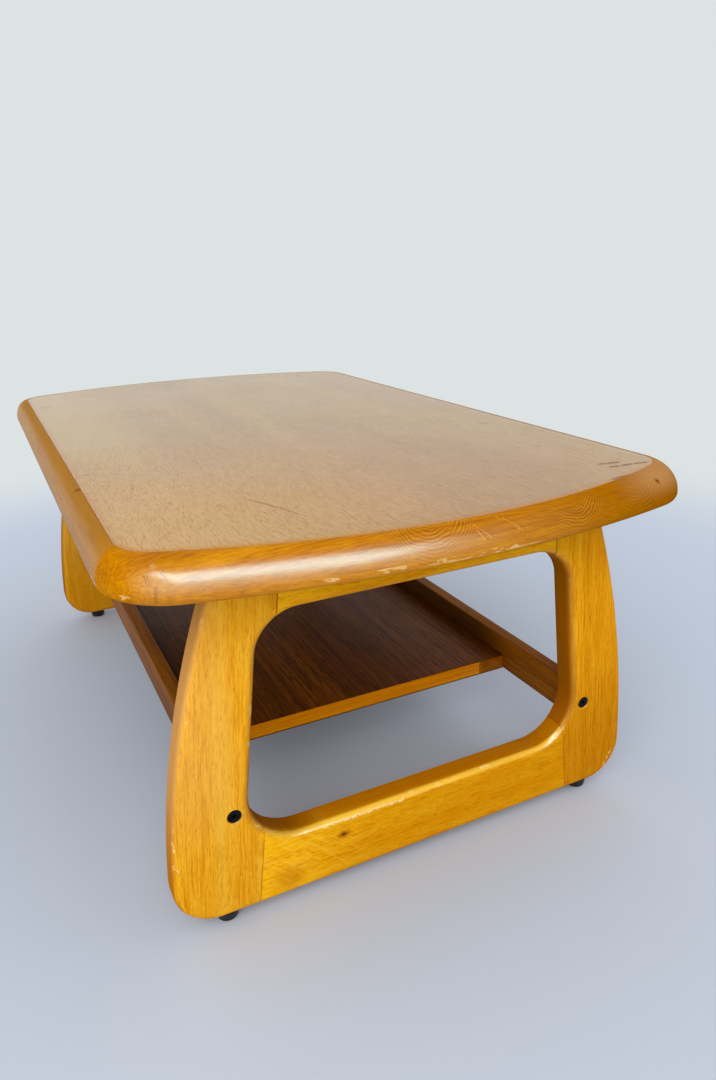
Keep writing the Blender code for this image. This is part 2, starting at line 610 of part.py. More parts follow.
def build_joints(frames, shelf, board, sheet):
    """Tenons, dowels, bolts, nuts, screws and a foot for every corner of the table."""
    rail_dowel = (DOWEL_DIAMETER, DOWEL_LENGTH)
    shelf_dowel = (SHELF_DOWEL_DIAMETER, SHELF_DOWEL_LENGTH)
    top_screw = (TOP_SCREW_HEAD, TOP_SCREW_DIAMETER, TOP_SCREW_LENGTH)
    top_screw_lead = TOP_SCREW_COUNTERBORE + TOP_RAIL_HEIGHT / 2
    foot_screw = (FOOT_SCREW_HEAD, FOOT_SCREW_DIAMETER, FOOT_SCREW_LENGTH)
    foot_screw_lead = FOOT_SCREW_RECESS + HOLE_CLEARANCE
    half_nut = NUT_LENGTH / 2
    pocket = NUT_DIAMETER + 2 * HOLE_CLEARANCE
    fit = HOLE_CLEARANCE
    makers = {
        "upper_tenon": (tenon_mesh(UPPER_TENON_WIDTH), tenon_mesh(UPPER_TENON_WIDTH, fit), WOOD_DOWEL),
        "lower_tenon": (tenon_mesh(LOWER_TENON_WIDTH), tenon_mesh(LOWER_TENON_WIDTH, fit), WOOD_DOWEL),
        "rail_dowel": (dowel_mesh(*rail_dowel), dowel_mesh(*rail_dowel, fit), WOOD_DOWEL),
        "shelf_dowel": (dowel_mesh(*shelf_dowel), dowel_mesh(*shelf_dowel, fit), WOOD_DOWEL),
        "bolt": (bolt_mesh(), bolt_hole_mesh(), BLACK_STEEL),
        "barrel_nut": (pin_mesh(NUT_DIAMETER, half_nut, -half_nut),
                       pin_mesh(pocket, half_nut + fit, -RAIL_HEIGHT), ZINC_STEEL),
        "top_screw": (screw_mesh(*top_screw), screw_mesh(*top_screw, fit, top_screw_lead), ZINC_STEEL),
        "foot_screw": (screw_mesh(*foot_screw), screw_mesh(*foot_screw, fit, foot_screw_lead), ZINC_STEEL),
    }
    foot = foot_mesh()
    shelf_dowel_y = SHELF_WIDTH / 2 + SHELF_DOWEL_IN_RAIL - SHELF_DOWEL_LENGTH / 2
    for end, sign in ENDS.items():
        for name, side in SIDES.items():
            leg = frames[f"{end}_{name}_leg"]
            rail = shelf[f"{name}_rail"]
            stile = shelf[f"{name}_stile"]
            upper = frames[f"{end}_top_rail"]
            lower = frames[f"{end}_bottom_rail"]
            rail_end = Vector((sign * FRAME_INNER, side * RAIL_Y, RAIL_AXIS_HEIGHT))
            under_leg = Vector((sign * FRAME_MIDDLE, side * FOOT_Y, 0.0))
            under_top = Vector((sign * FRAME_MIDDLE, side * TOP_SCREW_PITCH / 2, OPENING_TOP))
            bolt_face = Vector((sign * (FRAME_OUTER - BOLT_RECESS), side * RAIL_Y, RAIL_AXIS_HEIGHT))
            stile_edge = Vector((sign * SHELF_DOWEL_PITCH / 2, side * shelf_dowel_y, SHELF_MIDDLE))
            places = {
                "upper_tenon": (across_seam(sign, side, FRAME_TOP - TOP_RAIL_HEIGHT / 2), (leg, upper)),
                "lower_tenon": (across_seam(sign, side, FRAME_BASE + BOTTOM_RAIL_HEIGHT / 2), (leg, lower)),
                "rail_dowel": (along((sign, 0, 0), rail_end - Vector((0, 0, DOWEL_DROP))), (leg, rail)),
                "shelf_dowel": (along((0, side, 0), stile_edge), (rail, stile)),
                "barrel_nut": (Matrix.Translation(rail_end - Vector((sign * NUT_SETBACK, 0, 0))), (rail,)),
                "bolt": (along((sign, 0, 0), bolt_face), (leg, rail)),
                "top_screw": (along((0, 0, -1), under_top + Vector((0, 0, TOP_SCREW_COUNTERBORE))),
                              (upper, board, sheet)),
                "foot_screw": (along((0, 0, -1), under_leg + Vector((0, 0, FOOT_SCREW_RECESS))), (leg,)),
            }
            for kind, (place, hosts) in places.items():
                mesh, hole, finish = makers[kind]
                piece = part(f"{end}_{name}_{kind}", mesh, finish, place)
                tool = cutter(f"{end}_{name}_{kind}_hole", hole, place)
                for host in hosts:
                    bore(host, tool)
                if kind == "barrel_nut":
                    nut = piece
                if kind == "bolt":
                    bore(nut, tool)
            part(f"{end}_{name}_foot", foot, BLACK_PLASTIC, under_leg)


def build_table():
    """Every piece of the table."""
    board, sheet = build_top()
    frames = build_frames()
    shelf = build_shelf()
    build_joints(frames, shelf, board, sheet)


build_table()
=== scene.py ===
import math

import bmesh
import bpy
from mathutils import Matrix, Vector, noise


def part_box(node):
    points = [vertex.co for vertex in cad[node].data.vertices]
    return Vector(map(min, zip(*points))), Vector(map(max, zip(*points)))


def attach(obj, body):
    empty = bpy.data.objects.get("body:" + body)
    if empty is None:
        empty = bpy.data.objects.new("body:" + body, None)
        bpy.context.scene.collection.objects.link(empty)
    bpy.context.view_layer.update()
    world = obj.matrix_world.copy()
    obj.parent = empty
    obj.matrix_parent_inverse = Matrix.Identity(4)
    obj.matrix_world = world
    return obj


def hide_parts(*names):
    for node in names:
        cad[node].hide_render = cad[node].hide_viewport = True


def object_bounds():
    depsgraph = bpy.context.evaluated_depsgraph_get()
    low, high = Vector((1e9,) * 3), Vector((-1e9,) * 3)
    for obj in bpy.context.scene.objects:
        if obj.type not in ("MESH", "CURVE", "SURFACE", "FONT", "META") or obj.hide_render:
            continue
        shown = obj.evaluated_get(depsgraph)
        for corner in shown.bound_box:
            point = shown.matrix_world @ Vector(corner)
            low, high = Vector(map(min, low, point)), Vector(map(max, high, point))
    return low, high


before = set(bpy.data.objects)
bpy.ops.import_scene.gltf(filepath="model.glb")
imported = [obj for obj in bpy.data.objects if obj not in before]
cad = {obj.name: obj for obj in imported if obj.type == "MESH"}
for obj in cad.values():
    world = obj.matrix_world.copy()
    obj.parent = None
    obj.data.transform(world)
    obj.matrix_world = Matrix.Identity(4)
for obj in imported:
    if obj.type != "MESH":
        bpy.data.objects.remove(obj)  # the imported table: metres, +Z up, near end at +X, front long side at -Y
cadLow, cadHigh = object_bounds()
ends = {"right": 1, "left": -1}
sides = {"front": -1, "back": 1}
print("frame loaded,", len(cad), "nodes")


# Shader sums
def feed(sockets, inputs):  # link what varies, set what stays the same
    for key, value in inputs.items():
        if isinstance(value, Sock):
            value.tree.links.new(value.socket, sockets[key])
        else:
            sockets[key].default_value = value


class Sock:  # wraps a socket, so that a sum on it adds its Math node
    def __init__(self, tree, socket=None):
        self.tree = tree
        self.socket = socket

    def node(self, kind, settings, inputs, output=0):
        made = self.tree.nodes.new("ShaderNode" + kind)
        for key, value in settings.items():
            if key == "stops":
                ramp = made.color_ramp.elements  # a new ramp has two stops
                for index, (place, colour) in enumerate(value):
                    stop = ramp[index] if index < 2 else ramp.new(place)
                    stop.position = place
                    stop.color = colour
            else:
                setattr(made, key, value)
        feed(made.inputs, inputs)
        return Sock(self.tree, made.outputs[output])

    def sum(self, operation, first, second=0.0):
        return self.node("Math", {"operation": operation}, {0: first, 1: second})

    def vector(self, operation, inputs, output=0):
        return self.node("VectorMath", {"operation": operation}, inputs, output)

    def __add__(self, other):
        return self.sum("ADD", self, other)

    def __sub__(self, other):
        return self.sum("SUBTRACT", self, other)

    def __rsub__(self, other):
        return self.sum("SUBTRACT", other, self)

    def __mul__(self, other):
        return self.sum("MULTIPLY", self, other)

    __radd__ = __add__
    __rmul__ = __mul__


def tone(red, green, blue):  # display values 0-255 to a shader colour
    shares = [value / 255 for value in (red, green, blue)]
    return (*[s / 12.92 if s < 0.04 else ((s + 0.055) / 1.055) ** 2.4 for s in shares], 1.0)


def threeTones(dark, pale, middle):  # stops of a ramp from dark to pale wood
    return [(0.22, tone(*dark)), (0.80, tone(*pale)), (0.50, tone(*middle))]


def stretch(at, scale):
    return at.vector("MULTIPLY", {0: at, 1: scale})


def moved(at, shift):
    return at.vector("ADD", {0: at, 1: shift})


def awayFrom(at, point):
    return moved(at, tuple(-value for value in point))


def parted(at):  # the x, y and z of a position or direction
    return [at.node("SeparateXYZ", {}, {"Vector": at}, axis) for axis in range(3)]


def unsigned(value):
    return value.sum("ABSOLUTE", value)


def speckle(at, scale, detail=2.0, output=0):  # soft noise, cells about 1 / scale metres
    return at.node("TexNoise", {}, {"Vector": stretch(at, scale), "Scale": 1.0, "Detail": detail}, output)


def ease(value, low, high):  # 0 at low, 1 at high, smooth between
    return value.node("MapRange", {"interpolation_type": "SMOOTHSTEP"},
                      {"Value": value, "From Min": low, "From Max": high})


def mixed(share, first, second, way="MIX"):
    return share.node("Mix", {"data_type": "RGBA", "blend_type": way}, {0: share, 6: first, 7: second}, 2)


def bumped(height, strength=1.0, distance=1.0):
    return height.node("Bump", {}, {"Strength": strength, "Distance": distance, "Height": height})


def reach(at, point, scale=(1, 1, 1)):  # distance from a point, each axis stretched
    away = stretch(awayFrom(at, point), scale)
    return away.vector("LENGTH", {0: away}, 1)


def stroke(at, start, finish, width):  # 1 on the line between two points, 0 beside it
    run = Vector(finish) - Vector(start)
    away = awayFrom(at, start)
    share = away.vector("DOT_PRODUCT", {0: away, 1: run / run.length_squared}, 1)
    share = share.node("Clamp", {}, {"Value": share})
    foot = share.vector("SCALE", {0: run, "Scale": share})
    off = away.vector("DISTANCE", {0: away, 1: foot}, 1)
    return ease(off, width, width * 0.3)


def frontOn(at):  # 1 looked at squarely, 0 at a grazing look: for gloss alone
    return ease(at.node("LayerWeight", {}, {"Blend": 0.5}, "Facing"), 0.88, 0.55)


def newSkin(name):
    skin = bpy.data.materials.new(name)
    skin.use_nodes = True
    root = Sock(skin.node_tree)
    return {"skin": skin, "shader": skin.node_tree.nodes["Principled BSDF"],
            "at": root.node("TexCoord", {}, {}, "Object"), "normal": root.node("TexCoord", {}, {}, "Normal")}


def setShader(made, inputs):
    feed(made["shader"].inputs, inputs)
    return made["skin"]


# Wood, grown from fibres, tone bands and pores laid along one axis
grainTurn = {"X": (0, 0, 0), "Y": (0, 0, -math.pi / 2), "Z": (0, math.pi / 2, 0)}
dryRough = 0.7  # roughness of wood that has lost its lacquer


def growWood(name, look):
    wood = newSkin(name)
    turn = Vector(grainTurn[look["grain"]]) + Vector(look.get("lean", (0, 0, 0)))
    laid = {"Vector": wood["at"], "Rotation": turn, "Location": look["shift"]}
    grain = wood["at"].node("Mapping", {}, laid)
    drift = speckle(grain, look["driftScale"], 2.0, 1)
    grain = moved(grain, stretch(moved(drift, (-0.5, -0.5, -0.5)), look["drift"]))
    bands = speckle(grain, look["bands"], 3.0)
    fibre = speckle(grain, look["fibre"], 3.0)
    pores = ease(speckle(grain, look["pores"], 1.0), *look["poreCut"])
    patch = ease(speckle(grain, look["patches"], 2.0), 0.35, 0.7)
    figure = (bands - 0.5) * look["bandDepth"] + (fibre - 0.5) * look["fibreDepth"] + 0.5
    colour = figure.node("ValToRGB", {"stops": look["tones"]}, {"Fac": figure})
    colour = mixed(patch * look["patchDepth"], colour, look["patchTone"])
    colour = mixed(pores * look["poreDepth"], colour, look["poreTone"])
    smudge = speckle(wood["at"], (9, 9, 9), 4.0)
    wood.update(colour=colour, pores=pores, rough=(smudge - 0.5) * look["smudge"] + look["rough"],
                height=(fibre * 0.5 - pores) * look["relief"])
    return wood


def closeWood(wood, look):
    return setShader(wood, {"Base Color": wood["colour"], "Roughness": wood["rough"],
                            "Normal": bumped(wood["height"]), "Coat Weight": look["coat"],
                            "Coat Roughness": look["coatRough"], "Specular IOR Level": look["sheen"]})


def plainWood(name, look):
    return closeWood(growWood(name, look), look)


def stain(wood, share, colour):  # lay a colour over the wood where share is 1
    wood["colour"] = mixed(share, wood["colour"], colour)


def darken(wood, share, colour):  # multiply, so that the grain still shows
    wood["colour"] = mixed(share, wood["colour"], colour, "MULTIPLY")


def bare(wood, share, colour, depth=0.0):  # lacquer gone: pale dry wood, a little lower
    stain(wood, share, colour)
    wood["rough"] = share * (dryRough - wood["rough"]) + wood["rough"]
    wood["height"] = wood["height"] - share * depth


def middleOf(node):  # the middle of a CAD piece
    low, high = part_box(node)
    return Vector([(start + finish) / 2 for start, finish in zip(low, high)])


# End frames: bright golden wood
goldenLook = {
    "grain": "Z", "shift": (0.31, 0.0, 0.17), "drift": (0, 0.005, 0.005), "driftScale": (4, 18, 18),
    "bands": (1.3, 46, 46), "bandDepth": 0.8, "fibre": (22, 560, 560), "fibreDepth": 1.0,
    "pores": (105, 1450, 1450), "poreCut": (0.54, 0.68), "poreDepth": 0.40, "poreTone": tone(178, 92, 0),
    "patches": (3, 11, 11), "patchDepth": 0.40, "patchTone": tone(222, 140, 0),
    "rough": 0.46, "smudge": 0.16, "relief": 0.00006, "coat": 0.05, "coatRough": 0.20, "sheen": 0.0}

goldenMarks = {
    "boltRing": (0.0067, 0.0073, 0.0083), "boltRingTone": tone(238, 196, 110),
    "knot": (0.435, -0.1031, 0.0642), "knotTone": tone(120, 58, 10), "knotRing": tone(176, 100, 12),
    "shade": (0.435, -0.1669, 0.0328), "shadeTone": tone(196, 118, 8),
    "worn": tone(255, 222, 140), "sideShadeTone": tone(176, 99, 0), "innerShadeTone": tone(112, 58, 0),
    "farShadeTone": tone(203, 178, 10), "litTone": tone(255, 208, 62), "paintedSheenTone": tone(232, 190, 128),
    "rubDepth": 0.00012, "nickDepth": 0.0002,
    "nicksAndHighlights": [((0.4297, -0.2810, 0.1205), (0.4316, -0.2805, 0.1111), 0.0017),
              ((0.4322, -0.2814, 0.0951), (0.4338, -0.2797, 0.0872), 0.0019),
              ((0.4328, -0.2577, 0.2453), (0.4336, -0.2558, 0.2484), 0.0015),
              ((0.4340, 0.1913, 0.1036), (0.4346, 0.1810, 0.0931), 0.0030),
              # the next two lines are painted highlights along rounded edges
              ((0.4343, 0.2592, 0.0230), (0.4350, 0.2724, 0.0492), 0.0014),
              ((0.4340, -0.1280, 0.0806), (0.4340, -0.0300, 0.0806), 0.0016),
              ((0.4312, 0.0735, 0.0848), (0.4312, 0.0860, 0.0850), 0.0022)],
    "shimmer": (0.435, -0.150, 0.055), "shimmerTone": tone(255, 204, 66), "shimmerTurn": 0.75,
    "hollowShade": (0.418, -0.196, 0.104),
    "seamShift": (0, -0.163, -0.3372), "seamLean": 0.1154, "seamTone": tone(112, 60, 6)}


def goldenWood(name, grain, shift, lean, tones, far, tips):
    look = {**goldenLook, "grain": grain, "shift": shift, "lean": lean, "tones": tones}
    marks = goldenMarks
    wood = growWood(name, look)
    at = wood["at"]
    length, along, height = parted(at)
    across, facing, upward = parted(wood["normal"])
    flat = across * across  # 1 on the broad faces, 0 on the edges
    arris = flat * (1 - flat) * 4  # 1 half way round a rounded edge
    folded = at.vector("ABSOLUTE", {0: at})  # all four corners laid on one
    boltReach = reach(folded, (0, *middleOf("right_back_bolt").yz), (0, 1, 1))
    ringFrom, ringFull, ringTo = marks["boltRing"]
    ring = ease(boltReach, ringFrom, ringFull) * ease(boltReach, ringTo, ringFull)
    stain(wood, ring * 0.7, marks["boltRingTone"])
    knot = reach(at, marks["knot"], (1, 0.62, 1))
    stain(wood, ease(knot, 0.0065, 0.0030) * 0.65, marks["knotRing"])
    stain(wood, ease(knot, 0.0030, 0.0012), marks["knotTone"])
    shade = reach(at, marks["shade"], (1, 0.8, 1))
    stain(wood, ease(shade, 0.022, 0.004) * 0.55, marks["shadeTone"])
    # painted shade on the sides and rounded edges of the frames, with some darker toner
    stain(wood, ease(flat, 0.60, 0.0) * 0.8, marks["sideShadeTone"])
    inwardShade = ease(facing * along * -4, 0.1, 0.8)  # painted shade on the sides of the legs towards the opening
    stain(wood, inwardShade * ease(height, 0.09, 0.17) * 0.5, marks["innerShadeTone"])
    pale = ease(along, -0.20, -0.235) * ease(height, 0.07, 0.19)
    stain(wood, pale * (ease(flat, 0.7, 0.2) * 0.20 + 0.15), marks["paintedSheenTone"])  # painted reflection on the front legs
    farFrom, farTo, farShare = far
    topShare, baseShare = tips
    # painted shade: darker towards the back of each frame and on the far frame
    darken(wood, ease(along, farFrom, farTo) * ease(upward, 0.8, 0.2) * farShare, marks["farShadeTone"])
    darken(wood, ease(length, 0.1, -0.4) * 0.5, marks["farShadeTone"])
    stain(wood, ease(upward, 0.2, 0.7) * ease(arris, 0.4, 0.9) * 0.6, marks["litTone"])
    hollowShade = ease(reach(at, marks["hollowShade"], (0.4, 1, 1)), 0.085, 0.03) * (1 - flat)
    stain(wood, hollowShade * ease(upward, -0.2, 0.1) * 0.7, marks["innerShadeTone"])  # painted shade in the inner lower corner
    fold, plumb = parted(moved(folded, marks["seamShift"]))[1:]
    seam = fold * math.cos(marks["seamLean"]) + plumb * math.sin(marks["seamLean"])
    seam = ease(unsigned(seam), 0.0012, 0.0004) * (ease(height, 0.27, 0.33) * 0.45 + 0.2)
    stain(wood, seam, marks["seamTone"])  # glue line between leg and rail
    # painted shade: darker at the top and at the foot of the legs
    tipped = ease(height, 0.26, 0.35) * topShare + ease(height, 0.22, 0.06) * baseShare
    darken(wood, tipped, marks["farShadeTone"])
    gloss = ease(arris, 0.2, 0.9) * ease(along, -0.27, -0.20) * frontOn(at)
    look["coat"] = gloss * 0.45 + look["coat"]
    rubbed = ease(speckle(at, (85, 85, 85), 4.0), 0.60, 0.76) * ease(arris, 0.25, 0.9)
    bare(wood, rubbed * 0.45, marks["worn"], marks["rubDepth"])
    chewed = ease(speckle(at, (380, 380, 380), 3.0), 0.42, 0.55)
    # nicks, and pale painted highlight lines
    for start, finish, width in marks["nicksAndHighlights"]:
        bare(wood, stroke(at, start, finish, width) * chewed * 0.8, marks["worn"], marks["nickDepth"])
    ripple = at.node("Mapping", {}, {"Vector": at, "Rotation": (marks["shimmerTurn"], 0, 0)})
    ripple = ease(speckle(ripple, (20, 30, 330), 2.0), 0.45, 0.75)
    around = ease(reach(at, marks["shimmer"], (1, 0.55, 1)), 0.05, 0.015)
    stain(wood, ripple * around * 0.30, marks["shimmerTone"])
    return closeWood(wood, look)


# the back legs are deeper than the front ones: partly their own tone, partly painted shade
goldenTones = {"bright": threeTones((226, 148, 4), (255, 206, 70), (254, 187, 40)),
               "deep": threeTones((214, 136, 0), (255, 199, 50), (246, 172, 18)),
               "rail": threeTones((222, 146, 0), (255, 202, 40), (252, 182, 14))}
legFarShade = (-0.12, 0.24, 0.23)  # painted shade, deeper towards the back: from, to, how much
railFarShade = (-0.21, -0.06, 0.55)
legSkins = {
    "front": goldenWood("golden_front_leg_wood", "Z", (0.31, 0.0, 0.17), (0, 0, -0.07),
                        goldenTones["bright"], legFarShade, (0.38, 0.24)),
    "back": goldenWood("golden_back_leg_wood", "Z", (0.67, 0.3, 0.41), (0, 0, 0.07),
                       goldenTones["deep"], legFarShade, (0.33, 0.58))}
railSkin = goldenWood("golden_rail_wood", "Y", (0.11, 0.42, 0.05), (0, 0, 0.05),
                      goldenTones["rail"], railFarShade, (0.0, 0.0))
print("golden wood ready")


# Lippings of the top and the shelf: orange wood with growth rings
lippingLook = {
    "grain": "X", "drift": (0, 0.008, 0.008), "driftScale": (3, 14, 14),
    "bands": (1.6, 40, 40), "bandDepth": 0.8, "fibre": (14, 460, 460), "fibreDepth": 0.9,
    "pores": (120, 1300, 1300), "poreCut": (0.56, 0.72), "poreDepth": 0.28, "poreTone": tone(126, 66, 0),
    "patches": (2.2, 12, 12), "patchDepth": 0.45, "patchTone": tone(178, 102, 2),
    "rough": 0.42, "smudge": 0.22, "relief": 0.00011, "coatRough": 0.24, "sheen": 0.0}

lippingMarks = {
    "ringPitch": 0.0031, "ringScale": (1.0, 0.95, 1.0), "ringWander": 0.024, "ringDepth": 0.00005,
    "ringTone": tone(120, 64, 0), "ringPale": tone(224, 158, 40),
    "ringHearts": [(0.501, -0.043, 0.433), (0.497, 0.113, 0.432), (0.487, 0.206, 0.426)],
    "farShadeTone": tone(140, 79, 0), "upperTone": tone(166, 112, 14), "warmTone": tone(196, 128, 12),
    "paintedSheenTone": tone(205, 158, 104), "milkyGlowTone": tone(236, 216, 176),
    "bareTone": tone(228, 184, 110), "chipHeight": 0.3953, "chipDepth": 0.0003,
    "rubHeight": 0.3926, "rubFrom": -0.06, "rubTo": 0.08, "rubFade": 0.03,
    "knots": [((0.2274, -0.298, 0.4238), 0.0032), ((0.4835, 0.2486, 0.4158), 0.0026)],
    "knotTone": tone(96, 44, 0),
    "glueLine": [((0.4704, -0.2752, 0.4189), (0.4826, -0.2767, 0.4050), 0.0007),
                 ((0.4826, -0.2767, 0.4050), (0.4838, -0.2782, 0.3938), 0.0022)],
    "dent": (0.4704, -0.2752, 0.4189), "dentGlintTone": tone(226, 170, 116), "dentRise": 0.0006,
    "hatchWidth": 0.0009,
    "hatch": [((0.4724, -0.2836, 0.4137), (0.4781, -0.2825, 0.4071)),
              ((0.4740, -0.2815, 0.4137), (0.4795, -0.2806, 0.4071)),
              ((0.4781, -0.2707, 0.4148), (0.4842, -0.2672, 0.4095)),
              ((0.4770, -0.2690, 0.4160), (0.4826, -0.2655, 0.4110))],
    "paleWidth": 0.0012, "shadowWidth": 0.0010, "shadowShift": (0, -0.0016, 0),
    "paleLines": [((0.5156, -0.0031, 0.4196), (0.5211, 0.0128, 0.4073)),
                  ((0.5187, -0.0008, 0.4146), (0.5214, 0.0061, 0.4058)),
                  ((0.5129, 0.0223, 0.4221), (0.5197, 0.0443, 0.4089)),
                  ((0.5145, 0.0290, 0.4205), (0.5200, 0.0480, 0.4080))]}


def markEnd(wood, length, across, height):  # growth rings, glue line, scratches, painted shade and painted reflections of an end lipping
    marks = lippingMarks
    at = wood["at"]
    # painted shade, darker towards the back of the end lipping
    stain(wood, ease(across, -0.02, 0.26) * ease(length, -0.2, 0.2) * 0.75, marks["farShadeTone"])
    wander = (speckle(at, (20, 20, 20), 4.0) - 0.5) * marks["ringWander"]
    nearest = reach(at, marks["ringHearts"][0], marks["ringScale"])
    for heart in marks["ringHearts"][1:]:
        nearest = nearest.sum("MINIMUM", nearest, reach(at, heart, marks["ringScale"]))
    turns = (nearest + wander) * (2 * math.pi / marks["ringPitch"])
    wave = turns.sum("SINE", turns)
    figured = ease(nearest, 0.060, 0.024) * ease(speckle(at, (60, 60, 60), 2.0), 0.25, 0.55)
    figured = figured * (1 - ease(across, 0.14, 0.19) * 0.5)
    lines = ease(wave, 0.1, 0.9) * figured
    stain(wood, lines * 0.44, marks["ringTone"])
    stain(wood, ease(wave, -0.5, -1.0) * figured * 0.38, marks["ringPale"])
    wood["height"] = wood["height"] - lines * marks["ringDepth"]
    for start, finish, width in marks["glueLine"]:
        stain(wood, stroke(at, start, finish, width) * 0.4, marks["ringTone"])
    for start, finish in marks["hatch"]:
        stain(wood, stroke(at, start, finish, marks["hatchWidth"]) * 0.5, marks["ringTone"])
    beside = moved(at, marks["shadowShift"])
    for start, finish in marks["paleLines"]:
        stain(wood, stroke(at, start, finish, marks["paleWidth"]) * 0.6, marks["ringPale"])
        stain(wood, stroke(beside, start, finish, marks["shadowWidth"]) * 0.4, marks["ringTone"])
    near = ease(length, 0.0, 0.3)
    cornerSheen = ease(height, 0.397, 0.4215) * ease(across, 0.17, 0.26) * near
    stain(wood, cornerSheen * 0.55, marks["paintedSheenTone"])  # painted reflection on the back corner
    milkyGlow = ease(height, 0.394, 0.406) * ease(height, 0.416, 0.409) * near
    milkyGlow = milkyGlow * ease(across, 0.06, -0.08) * ease(across, -0.300, -0.270) * 0.21
    stain(wood, milkyGlow, marks["milkyGlowTone"])  # milky lacquer and painted reflection below the highlight ridge
    # a small dent, with a painted highlight on it
    dent = ease(reach(at, marks["dent"]), 0.0036, 0.0012)
    stain(wood, dent * 0.45, marks["dentGlintTone"])
    wood["height"] = wood["height"] + dent * marks["dentRise"]


def lippingWood(name, grain, shift, atEnd, coat, tones):
    look = {**lippingLook, "grain": grain, "shift": shift, "tones": tones}
    marks = lippingMarks
    wood = growWood(name, look)
    at = wood["at"]
    length, across, height = parted(at)
    nearCoat, farCoat = coat
    dull = 1 - ease(height, 0.414, 0.4225) * 0.7  # lacquer thin next to the field
    look["coat"] = (ease(across, 0.20, 0.0) * (nearCoat - farCoat) + farCoat) * dull
    if atEnd:
        look["coat"] = look["coat"] * frontOn(at) * (ease(across, -0.300, -0.280) * 0.9 + 0.1)
        markEnd(wood, length, across, height)
    else:
        stain(wood, ease(height, 0.4165, 0.4225) * 0.55, marks["upperTone"])
        stain(wood, ease(unsigned(length), 0.36, 0.47) * 0.6, marks["warmTone"])
    for knot, size in marks["knots"]:
        heart = reach(at, knot)
        stain(wood, ease(heart, size * 2.2, size * 0.8) * 0.5, marks["ringTone"])
        stain(wood, ease(heart, size, size * 0.3) * 0.8, marks["knotTone"])
    worn = at.node("Attribute", {"attribute_name": "worn"}, {}, "Fac")
    ragged = speckle(stretch(at, (0.3, 0.3, 1)), (420, 420, 420), 4.0) - 0.5
    band = ease(unsigned(height - marks["chipHeight"] + ragged * 0.004), 0.0034, 0.0012)
    chipped = ease(worn * band * 0.62 + ragged * 2.2, 0.44, 0.56) * ease(worn, 0.05, 0.2)
    bare(wood, chipped * 0.85, marks["bareTone"], marks["chipDepth"])
    if atEnd:  # a thin rubbed line under the chips
        off = unsigned(height - marks["rubHeight"] + ragged * 0.003)
        rub = ease(off, 0.0011, 0.0004) * ease(speckle(at, (30, 90, 30), 3.0), 0.42, 0.56)
        start, finish, fade = marks["rubFrom"], marks["rubTo"], marks["rubFade"]
        rub = rub * ease(across, start, start + fade) * ease(across, finish, finish - fade)
        bare(wood, rub * 0.7, marks["bareTone"])
    return closeWood(wood, look)


endLippingSkin = lippingWood("end_lipping_wood", "Y", (0.2, 0.6, 0.1), True, (0.55, 0.0),
                             threeTones((168, 98, 0), (216, 147, 6), (196, 123, 0)))
sideLippingSkin = lippingWood("side_lipping_wood", "X", (0.5, 0.1, 0.3), False, (0.52, 0.40),
                              threeTones((150, 97, 2), (196, 142, 20), (175, 119, 8)))
print("lipping wood ready")


# Field of the top: open-pored tan veneer under hazy lacquer
fieldLook = {
    "grain": "X", "shift": (0.0, 0.23, 0.4), "drift": (0, 0.010, 0), "driftScale": (3, 8, 8),
    "bands": (1.0, 20, 20), "bandDepth": 0.7, "fibre": (28, 420, 420), "fibreDepth": 1.0,
    "pores": (110, 1350, 1350), "poreCut": (0.50, 0.64), "poreDepth": 0.42, "poreTone": tone(122, 74, 16),
    "patches": (4, 7, 7), "patchDepth": 0.40, "patchTone": tone(176, 126, 62),
    "tones": threeTones((166, 118, 40), (205, 158, 66), (187, 139, 52)),
    "rough": 0.42, "smudge": 0.20, "relief": 0.00005, "coat": 0.88, "coatRough": 0.18, "sheen": 0.25}

fieldMarks = {
    "level": cadHigh.z, "scratchDepth": 0.0001,
    "darkScratches": [((0.3546, -0.1546), (0.3941, -0.1385), 0.0014),
                      ((0.3941, -0.1385), (0.4198, -0.1308), 0.0012),
                      ((0.4229, 0.2256), (0.4264, 0.2483), 0.0042),
                      ((0.4387, 0.2265), (0.4408, 0.2590), 0.0040),
                      ((0.4408, 0.2590), (0.4421, 0.2739), 0.0034),
                      ((0.4760, 0.1942), (0.4725, 0.2277), 0.0036),
                      ((0.1683, -0.2826), (0.1731, -0.2748), 0.0022),
                      ((-0.3212, -0.2824), (-0.3227, -0.2683), 0.0030),
                      ((0.1723, 0.2404), (0.1711, 0.2512), 0.0026)],
    "paleScratches": [((0.3938, -0.1078), (0.4378, -0.1118), 0.0011), ((0.30, 0.05), (0.36, 0.062), 0.0011)],
    "spots": [(0.0613, 0.0561), (0.3074, 0.2356), (0.2072, 0.2452)], "rimTone": tone(190, 120, 8),
    "warm": (0.38, -0.25), "warmTone": tone(222, 161, 46), "nearTone": tone(240, 228, 214),
    "leftTone": tone(216, 178, 112), "pinkTone": tone(196, 144, 90), "greenTone": tone(186, 146, 58),
    "darkTone": tone(114, 58, 20), "paleTone": tone(222, 196, 150)}


